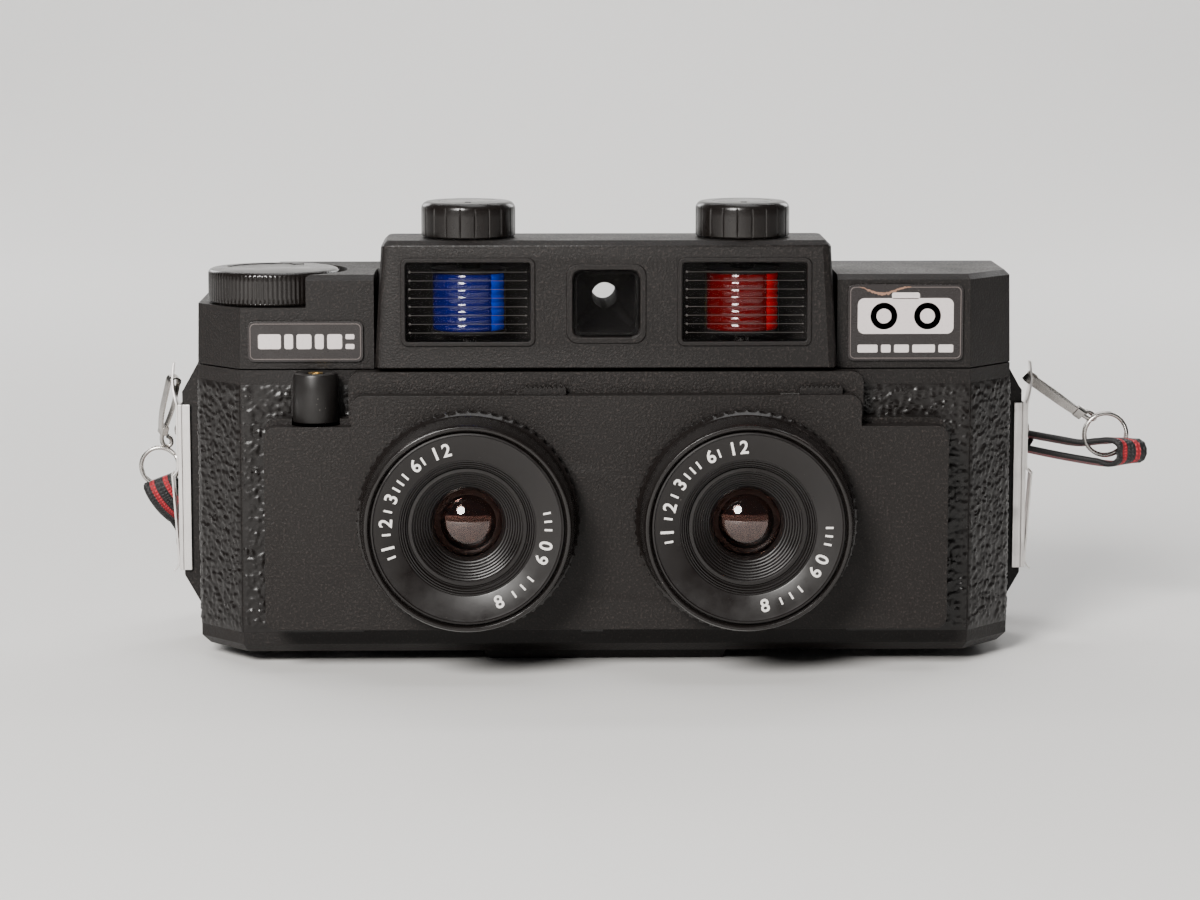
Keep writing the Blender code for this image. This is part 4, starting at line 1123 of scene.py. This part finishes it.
def aperture_sliders(mat):
    """Levers with a row of worn teeth along the top."""
    for label, _ in SIDES:
        low, high = corners("aperture_slider_" + label)
        teeth = 9
        pitch = (high.x - low.x) / teeth
        outline = [(high.x, low.z), (high.x, high.z - 0.6)]
        for k in range(teeth):
            right = high.x - k * pitch
            outline += [(right - 0.25 * pitch, high.z), (right - 0.6 * pitch, high.z)]
            outline.append((right - 0.85 * pitch, high.z - 0.5))
        outline += [(low.x, high.z - 0.6), (low.x, low.z)]
        obj = add_piece("lever_" + label, prism(outline, low.y, high.y, "Y"), mat, "aperture_" + label,
                        ("aperture_slider_" + label,))
        bevel(obj, 0.12, 2, 50)


# ---------------------------------------------------------------- stickers

STICKER_FACE = -22.74


def sticker_base(node, mat, line_mat):
    """Glossy label with a thin dull line just inside its edge."""
    low, high = corners(node)
    bm = prism(rounded(low.x, low.z, high.x, high.z, 1.4), STICKER_FACE, high.y, "Y")
    bevel(add_piece(node + "_label", bm, mat, "root", (node,)), 0.08)
    outer = rounded(low.x + 0.5, low.z + 0.5, high.x - 0.5, high.z - 0.5, 1.1)
    inner = rounded(low.x + 0.68, low.z + 0.68, high.x - 0.68, high.z - 0.68, 0.95)
    frame_ring(node + "_keyline", outer, inner, STICKER_FACE - 0.05, STICKER_FACE + 0.05, line_mat, 0.01)
    return low, high


def flat_marks(name, outlines, mat):
    """Thin raised print from several outlines in the sticker's plane."""
    parts = [prism(outline, STICKER_FACE - 0.07, STICKER_FACE + 0.02, "Y") for outline in outlines]
    add_piece(name, merged(*parts), mat, "root", ())


def dashes(x, low, high, widths, radius):
    """A row of round-cornered bars in place of a word, and where the next would start."""
    row = []
    for wide in widths:
        row.append(rounded(x, low, x + wide, high, radius, 3))
        x += wide + 0.8
    return row, x


def stickers(mat, line_mat, print_mat, worn_mat):
    """Plain dashes and a two-lens pictogram stand where the real labels carry words."""
    low, high = sticker_base("sticker_left", mat, line_mat)
    mid = (low.z + high.z) / 2
    strokes, x = dashes(low.x + 2.4, mid - 1.7, mid + 1.7, (5.2, 2.0, 3.4, 2.0, 3.4), 0.5)
    for z in (mid + 0.55, mid - 1.7):
        strokes.append(rounded(x, z, high.x - 2.0, z + 1.15, 0.3, 3))
    flat_marks("label_dashes_left", strokes, print_mat)

    low, high = sticker_base("sticker_right", mat, line_mat)
    mid_x = (low.x + high.x) / 2
    ring_z = high.z - 7.0
    case = [rounded(mid_x - 11.0, ring_z - 4.3, mid_x + 11.0, ring_z + 3.9, 1.5),
            rounded(mid_x - 3.2, ring_z + 3.7, mid_x + 3.2, ring_z + 5.2, 0.5)]
    words, _ = dashes(mid_x - 11.0, low.z + 1.9, low.z + 3.7, (4.6, 2.2, 3.4, 5.2, 3.4), 0.3)
    flat_marks("label_marks_right", case + words, print_mat)
    for k, dx in enumerate((-5.0, 5.0)):
        ring = [(1.7, 0.0), (3.1, 0.0), (3.1, 0.09), (1.7, 0.09)]
        bm = turned(ring, (mid_x + dx, STICKER_FACE - 0.07, ring_z - 0.2), "Y", 64)
        add_piece("label_ring_%d" % (k + 1), bm, mat, "root", ())
    torn_edge(low, high, mat, worn_mat)


def torn_edge(low, high, mat, worn_mat):
    """Notch in the top edge where the label has been rubbed through to its paper."""
    rng = random.Random(4)
    first, last, steps = low.x + 2.6, low.x + 14.5, 44
    upper, lower, top = [], [], []
    for k in range(steps + 1):
        t = k / steps
        x = first + (last - first) * t
        dip = 1.35 * math.sin(math.pi * min(1.0, t * 1.15)) ** 1.5 if t < 0.87 else 0.0
        z = high.z - 0.45 - dip + rng.uniform(-0.1, 0.1)
        thick = (0.16 + 0.75 * math.sin(math.pi * t)) * rng.uniform(0.45, 1.0)
        top.append((x, high.z + 0.1))
        upper.append((x, z))
        lower.append((x, z - thick))
    flat_marks("label_notch", [top + upper[::-1]], mat)
    flat_marks("label_worn_edge", [upper + lower[::-1]], worn_mat)


# ---------------------------------------------------------------- clips, hooks and strap ends

def wire(name, points, radius, mat, body, stands_for=(), steps=14):
    """A round steel wire through points given in millimetres."""
    rings = []
    up = Vector((0.13, 0.31, 0.94)).normalized()
    for i, p in enumerate(points):
        tangent = tangent_at(points, i)
        up = square_to(up, tangent)
        side = tangent.cross(up)
        ring = []
        for k in range(steps):
            a = 2 * math.pi * k / steps
            ring.append(p + up * radius * math.cos(a) + side * radius * math.sin(a))
        rings.append(ring)
    add_piece(name, loft(rings), mat, body, stands_for)


CLIP_OUTER = 101.9
CLIP_LOW, CLIP_TOP = 16.3, 56.4
LUG_Y = 16.4


def clip_channel(label, side, sheet):
    """Folded channel that wraps both flanges."""
    lip, thick = 98.9, 0.6
    low, high = corners("back_clip_" + label)
    y0, y1 = low.y, high.y
    groove = CLIP_OUTER - 1.15
    web = CLIP_OUTER - thick
    outline = [(lip, y0), (groove - 0.2, y0), (groove, y0 + 0.16), (groove + 0.2, y0), (CLIP_OUTER, y0),
               (CLIP_OUTER, y1), (lip, y1), (lip, y1 - thick), (web, y1 - thick), (web, y0 + thick),
               (lip, y0 + thick)]
    bm = prism([(side * x, y) for x, y in outline], CLIP_LOW, CLIP_TOP)
    obj = add_piece("clip_channel_" + label, bm, sheet, "clip_" + label, ("back_clip_" + label,))
    bevel(obj, 0.28, 3)


def clip_lug(label, side, sheet):
    """Thin spring strip on the channel: curled foot, kink, and the tongue on top for the hook."""
    centre_line = [(1.5, 15.9), (0.7, 16.7), (0.25, 17.8), (0.3, 20.0), (1.5, 38.3), (1.6, 38.9), (0.5, 40.2),
                   (0.3, 41.5), (0.3, 55.0), (0.5, 57.0), (1.1, 60.0), (1.25, 62.5), (1.1, 65.0), (0.9, 66.3)]
    route = smooth_route([(CLIP_OUTER + x, 0.0, z) for x, z in centre_line], 0.7)
    rings = []
    for i, p in enumerate(route):
        tangent = tangent_at(route, i)
        out = Vector((tangent.z, 0, -tangent.x)) * 0.22
        half = 2.5 if p.z < 57 else 2.5 - 0.13 * (p.z - 57)
        rings.append([(side * q.x, y, q.z) for q, y in ((p + out, LUG_Y - half), (p + out, LUG_Y + half),
                                                        (p - out, LUG_Y + half), (p - out, LUG_Y - half))])
    obj = add_piece("clip_lug_" + label, loft(rings), sheet, "clip_" + label, (), 50)
    bevel(obj, 0.09, 2, 60)


def clips(sheet, steel):
    """Each clip with its lug, two rivets and snap hook."""
    for label, side in SIDES:
        clip_channel(label, side, sheet)
        clip_lug(label, side, sheet)
        for z in (23.0, 50.0):
            profile = [(0, -0.3), (1.4, -0.3), (1.4, 0.55), (1.1, 0.9), (0.6, 1.05), (0, 1.08)]
            bm = turned([(r, side * h) for r, h in profile], (side * CLIP_OUTER, LUG_Y, z), "X", 24)
            add_piece("rivet_%s_%d" % (label, z), bm, steel, "clip_" + label, ())
        snap_hook(label, steel)


# Start and end of each hook, the direction it opens in, and how far apart its two arms are.
HOOKS = {
    "right": ((102.9, 16.4, 62.2), (118.4, 18.9, 51.3), (0.12, 0.8, 0.5), 1.5),
    "left": ((-103.0, 16.4, 61.8), (-106.9, 21.2, 46.0), (0.88, 0.45, 0.1), 2.7),
}


def band(points, across, half_width, thick):
    """Flat strip swept along points; half_width(t) gives its width along the way."""
    rings = []
    for i, p in enumerate(points):
        tangent = tangent_at(points, i)
        wide = square_to(across, tangent)
        out = tangent.cross(wide) * thick / 2
        w = wide * half_width(i / (len(points) - 1))
        rings.append([p + w + out, p - w + out, p - w - out, p + w - out])
    return loft(rings)


def snap_hook(label, steel):
    """Snap hook: a bent strip that loops round the end of the lug, a collar and the small wire
    hook that holds the ring."""
    start, end, spread, gap = HOOKS[label]
    start, end = Vector(start), Vector(end)
    length = (end - start).length
    along = (end - start).normalized()
    spread = square_to(Vector(spread), along)
    across = along.cross(spread)
    half = gap / 2

    def at(t, u, v=0.0):
        return start + along * t + spread * u + across * v

    body = "clip_" + label
    loop = [at(length - 2.6, -0.25), at(length - 4.4, -half * 0.6), at(length * 0.5, -half), at(3.0, -half)]
    for degrees in range(-70, 80, 20):
        a = math.radians(degrees)
        loop.append(at(-1.2 * math.cos(a), half * math.sin(a)))
    loop += [at(3.0, half), at(length * 0.45, half * 0.9), at(length - 4.6, half * 0.35)]
    bm = band(smooth_route(loop, 0.45), across, lambda t: 1.15 if t < 0.62 else 0.8, 0.5)
    bevel(add_piece("hook_" + label, bm, steel, body, ("snap_hook_" + label,), 50), 0.12, 2, 60)
    outline = rounded(-0.95, -1.35, 0.95, 1.35, 0.4, 4)
    collar = loft([[at(length - back, u, v) for u, v in outline] for back in (4.9, 2.7)])
    bevel(add_piece("hook_collar_" + label, collar, steel, body, (), 50), 0.15)
    tip = [at(length - 3.0, 0.0), at(length - 1.2, 0.1), at(length + 0.3, 0.9), at(length + 0.9, 2.0),
           at(length + 0.1, 2.9), at(length - 1.3, 2.5), at(length - 2.0, 1.5)]
    wire("hook_tip_" + label, smooth_route(tip, 0.35), 0.55, steel, body)


# Middle and radius of each split ring.
RINGS = {"right": (Vector((121.9, 19.0, 48.0)), 5.1), "left": (Vector((-107.2, 22.0, 40.4)), 4.5)}


def split_rings(steel):
    """Nearly two turns of wire side by side, stepping over half-way."""
    for label, (middle, radius) in RINGS.items():
        points = []
        count = 150
        for i in range(count + 1):
            t = i / count
            a = math.radians(40) + 2 * math.pi * 1.9 * t
            step = min(1.0, max(0.0, (t - 0.46) / 0.08))
            step = step * step * (3 - 2 * step)
            points.append(middle + Vector((radius * math.cos(a), -0.5 + step, radius * math.sin(a))))
        wire("ring_" + label, points, 0.5, steel, "clip_" + label, ("split_ring_" + label,), steps=12)


# Route of each sewn loop, and the direction of the ribbon's width along it.
LOOPS = {
    "right": (
        [(104.0, 26.4, 43.4), (110.0, 24.8, 42.3), (116.0, 22.8, 41.4), (121.0, 20.4, 40.9),
         (124.8, 17.6, 41.1), (127.1, 15.6, 42.4), (127.6, 15.1, 44.2), (127.1, 15.6, 45.9),
         (124.8, 17.6, 46.7), (121.0, 20.4, 46.1), (116.0, 23.0, 45.4), (110.0, 25.2, 46.1),
         (104.0, 27.2, 47.0)],
        [(0.0, (0, 1, -0.2)), (0.33, (0, 1, -0.2)), (0.42, (0.7, 0.7, 0)), (0.5, (1, 0.15, 0)),
         (0.58, (0.7, 0.7, -0.1)), (0.67, (0, 1, -0.2)), (1.0, (0, 1, -0.2))]),
    "left": (
        [(-103.8, 27.4, 30.5), (-105.6, 25.6, 33.2), (-106.9, 23.9, 35.6), (-107.3, 22.2, 36.9),
         (-107.2, 20.4, 36.2), (-106.0, 20.6, 33.8), (-104.4, 22.4, 31.2), (-102.6, 25.0, 28.9)],
        [(0.0, (0.85, 0.1, 0.5)), (0.5, (0.92, 0.0, 0.35)), (1.0, (0.85, 0.1, 0.5))]),
}


def strap_loops(webs):
    """The sewn ends of the strap, each folded round its ring."""
    for label, (route, keys) in LOOPS.items():
        points = smooth_route(route, 0.8)
        add_piece("strap_loop_" + label, ribbon_mesh(points, turning(points, keys)), webs, "clip_" + label,
                  ("strap_end_" + label,), 60)


# ---------------------------------------------------------------- back and hidden pieces

HIDDEN_MATERIALS = {
    "matt_inside": ("film_gate", "take_up_spool", "supply_spool"),
    "steel": ("shutter_spring",),
    "blackened": ("shutter_blade_left", "shutter_blade_right"),
    "gloss": ("flash_capacitor", "flash_switch", "bulb_switch"),
    "brass": ("tripod_bush",),
    "moulded": ("counter_slider",),
    "ruby": ("counter_window",),
    "board": ("flash_circuit_board",),
}


def dress_hidden(materials):
    """Pieces that keep their CAD shape get these materials."""
    for key, nodes in HIDDEN_MATERIALS.items():
        for node in nodes:
            slots = frame["nodes"][node].data.materials
            slots.clear()
            slots.append(materials[key])


def screws(steel, dark):
    """Cross-head screws on the back of the top cover and under the body; each cross is two dark bars on the
    head, painted shade of its recess.
    """
    spots = [((x, 16.2, 74.0), "Y") for x in (-86.0, 86.0, 0.0)]
    spots += [((x, y, 2.9), "Z") for x in (-60.0, 60.0) for y in (-8.0, 6.0)]
    for k, ((x, y, z), axis) in enumerate(spots):
        out = 1 if axis == "Y" else -1
        head = [(0, -0.4), (1.9, -0.4), (1.9, 0.15), (1.5, 0.5), (0, 0.62)]
        bm = turned([(r, out * h) for r, h in head], (x, y, z), axis, 32)
        add_piece("screw_%d" % (k + 1), bm, steel, "root", ())
        n = Vector((0, 1, 0)) if axis == "Y" else Vector((0, 0, -1))
        # Each arm of the cross is a thin dark bar laid on the head: painted shade where the recess would be.
        for turn in (0.4, 0.4 + math.pi / 2):
            cos, sin = math.cos(turn), math.sin(turn)
            u = Vector((cos, 0, sin) if axis == "Y" else (cos, sin, 0))
            v = u.cross(n)
            c = Vector((x, y, z)) + n * 0.5
            base = [c + u * du + v * dv for du, dv in ((1.1, 0.2), (-1.1, 0.2), (-1.1, -0.2), (1.1, -0.2))]
            bm = loft([base, [p + n * 0.16 for p in base]])
            add_piece("screw_slot_%d_%d" % (k + 1, round(turn)), bm, dark, "root", ())


# ---------------------------------------------------------------- stage and light

WORLD_STRENGTH = 0.07
SWEEP_HALF, SWEEP_RADIUS, WALL_Y, WALL_TOP = 9000.0, 900.0, 2000.0, 3000.0

# The lights are placed and sized in metres, and their power is in watts.
LOOK_AT = (0.0, 0.0, 0.05)
KEY_PLACE, KEY_POWER, KEY_RADIUS = (-0.44, -1.02, 0.66), 124.0, 0.23
AREA_LIGHTS = (                       # name, place, target, size, power
    ("top", (0.1, 0.05, 1.7), LOOK_AT, (1.5, 0.9), 12.0),
    ("rear_left", (-0.7, 1.05, 0.55), LOOK_AT, (0.4, 0.5), 4.0),
    ("rear_right", (0.75, 1.0, 0.55), LOOK_AT, (0.4, 0.5), 4.0),
    ("wall_wash", (0.0, 0.95, 1.6), (0.0, 2.0, 0.45), (2.2, 0.4), 34.0),
)


def backdrop_material():
    """Off-white paper."""
    s = Shader("backdrop_paper", (0.72, 0.71, 0.695), 0.85)
    fibre = s.noise(1.5, detail=3.0)
    s.bump(fibre, 0.02)
    s.drive("Roughness", s.grey(s.noise(40.0), 0.8, 0.92))
    return s.mat


def sweep(mat):
    """Seamless paper: floor, a wide curve and a wall."""
    profile = [(y, 0.0) for y in (-SWEEP_HALF, -600.0, 0.0)]
    profile += arc((WALL_Y - SWEEP_RADIUS, SWEEP_RADIUS), SWEEP_RADIUS, -90, 0, 16)
    profile.append((WALL_Y, WALL_TOP))
    bm = bmesh.new()
    rows = []
    for x in (-SWEEP_HALF, SWEEP_HALF):
        rows.append([bm.verts.new((x * MM, y * MM, (z - 0.05) * MM)) for y, z in profile])
    for k in range(len(profile) - 1):
        bm.faces.new((rows[0][k], rows[1][k], rows[1][k + 1], rows[0][k + 1]))
    bmesh.ops.recalc_face_normals(bm, faces=bm.faces)
    mesh = bpy.data.meshes.new("sweep")
    bm.to_mesh(mesh)
    bm.free()
    mesh.shade_smooth()
    mesh.materials.append(mat)
    stage_object("sweep", mesh)


def stage_object(name, data):
    """An object that belongs to the stage and not to the part."""
    obj = bpy.data.objects.new(name, data)
    bpy.context.collection.objects.link(obj)
    return obj


def lights():
    """One lamp at the upper left, a wide soft light above, two behind and one on the wall."""
    key = bpy.data.lights.new("key", "POINT")
    key.energy = KEY_POWER
    key.shadow_soft_size = KEY_RADIUS
    key.color = (1.0, 0.98, 0.95)
    stage_object("key", key).location = KEY_PLACE
    for name, place, target, (wide, tall), power in AREA_LIGHTS:
        data = bpy.data.lights.new(name, "AREA")
        data.shape = "RECTANGLE"
        data.size = wide
        data.size_y = tall
        data.energy = power
        lamp = stage_object(name, data)
        lamp.location = place
        lamp.rotation_euler = (Vector(target) - Vector(place)).to_track_quat("-Z", "Y").to_euler()
    world = bpy.data.worlds.new("studio")
    world.use_nodes = True
    background = world.node_tree.nodes["Background"].inputs
    background["Color"].default_value = (0.94, 0.95, 1.0, 1.0)
    background["Strength"].default_value = WORLD_STRENGTH
    bpy.context.scene.world = world


# ---------------------------------------------------------------- everything together

def main():
    make_camera()
    moulded = moulded_plastic()
    panel = moulded_plastic("moulded_panel", (0.0072, 0.0056, 0.005), 1.2)
    skin = grained_plastic()
    gloss = gloss_plastic()
    barrel = gloss_plastic("barrel_black", (0.006, 0.0045, 0.0041), 0.33)
    dark = matt_inside()
    steel = metal("steel_wire", (0.44, 0.42, 0.40), 0.2)
    blackened = metal("blackened_steel", (0.055, 0.04, 0.035), 0.42)
    sheet = metal("aluminium_sheet", (0.80, 0.77, 0.75), 0.34, (1.0, 1.0, 0.04))
    chrome = metal("reflector_foil", (0.88, 0.88, 0.88), 0.14)
    foil = metal("rough_foil", (0.92, 0.92, 0.92), 0.55)
    brass = metal("brass", (0.72, 0.52, 0.22), 0.3)
    clear = smoked_pane("window_clear", 0.07)
    # grey for the rib crests and beads: painted highlight of light on the clear ribs
    rib_highlights = Shader("rib_painted_highlights", (0.085, 0.077, 0.072), 0.32).mat
    glass = clear_plastic("coated_glass", (0.7, 0.52, 0.47), 0.012, 1.55)
    thin_glass = smoked_pane("finder_glass", 0.05)
    panes = {
        "blue": tinted_pane("blue_pane", (0.003, 0.005, 0.12)),
        # blue and red lighter copies are painted light for the strip of each front pane by the foil
        "blue_painted_light": tinted_pane("blue_pane_painted_light", (0.001, 0.055, 0.8)),
        "red": tinted_pane("red_pane", (0.12, 0.0005, 0.001)),
        "red_painted_light": tinted_pane("red_pane_painted_light", (0.7, 0.003, 0.006)),
        "yellow": tinted_pane("yellow_pane", (0.85, 0.55, 0.02)),
    }
    ink = printed("dial_ink", (0.78, 0.75, 0.72))
    label = gloss_plastic("label_black", (0.016, 0.013, 0.013), 0.24)
    label_edge = printed("label_edge", (0.11, 0.09, 0.085), 0.4)
    label_ink = printed("label_ink", (0.62, 0.56, 0.55))
    worn = printed("worn_label", (0.24, 0.13, 0.085), 0.6)
    satin = gloss_plastic("satin_black", (0.006, 0.005, 0.0046), 0.38)
    webs = (webbing("webbing_black", (0.010, 0.009, 0.010)), webbing("webbing_red", (0.5, 0.008, 0.02)))
    ruby = clear_plastic("ruby_pane", (0.75, 0.02, 0.02), 0.08)

    casing(moulded, panel)
    grain_panels(skin)
    lenses(gloss, barrel, glass, ink)
    for label_side, side in SIDES:
        flash_window(label_side, clear, rib_highlights, moulded)
        filter_drum(label_side, side, dark, panes)
        flash_lamp(label_side, side, chrome, foil, glass, steel)
        lamp_floor(label_side, side, dark)
        flash_knob(label_side, side, gloss)
    winder_knob(gloss)
    viewfinder(clear, thin_glass, dark, moulded)
    shutter_button(satin, brass)
    aperture_sliders(moulded)
    stickers(label, label_edge, label_ink, worn)
    clips(sheet, steel)
    split_rings(steel)
    make_strap(webs, gloss)
    strap_loops(webs)
    strap_tie(webs[0])
    dress_hidden({"matt_inside": dark, "steel": steel, "gloss": gloss, "brass": brass, "moulded": moulded,
                  "ruby": ruby, "board": circuit_board(), "blackened": blackened})
    return_spring()
    screws(steel, dark)
    sweep(backdrop_material())
    lights()


main()
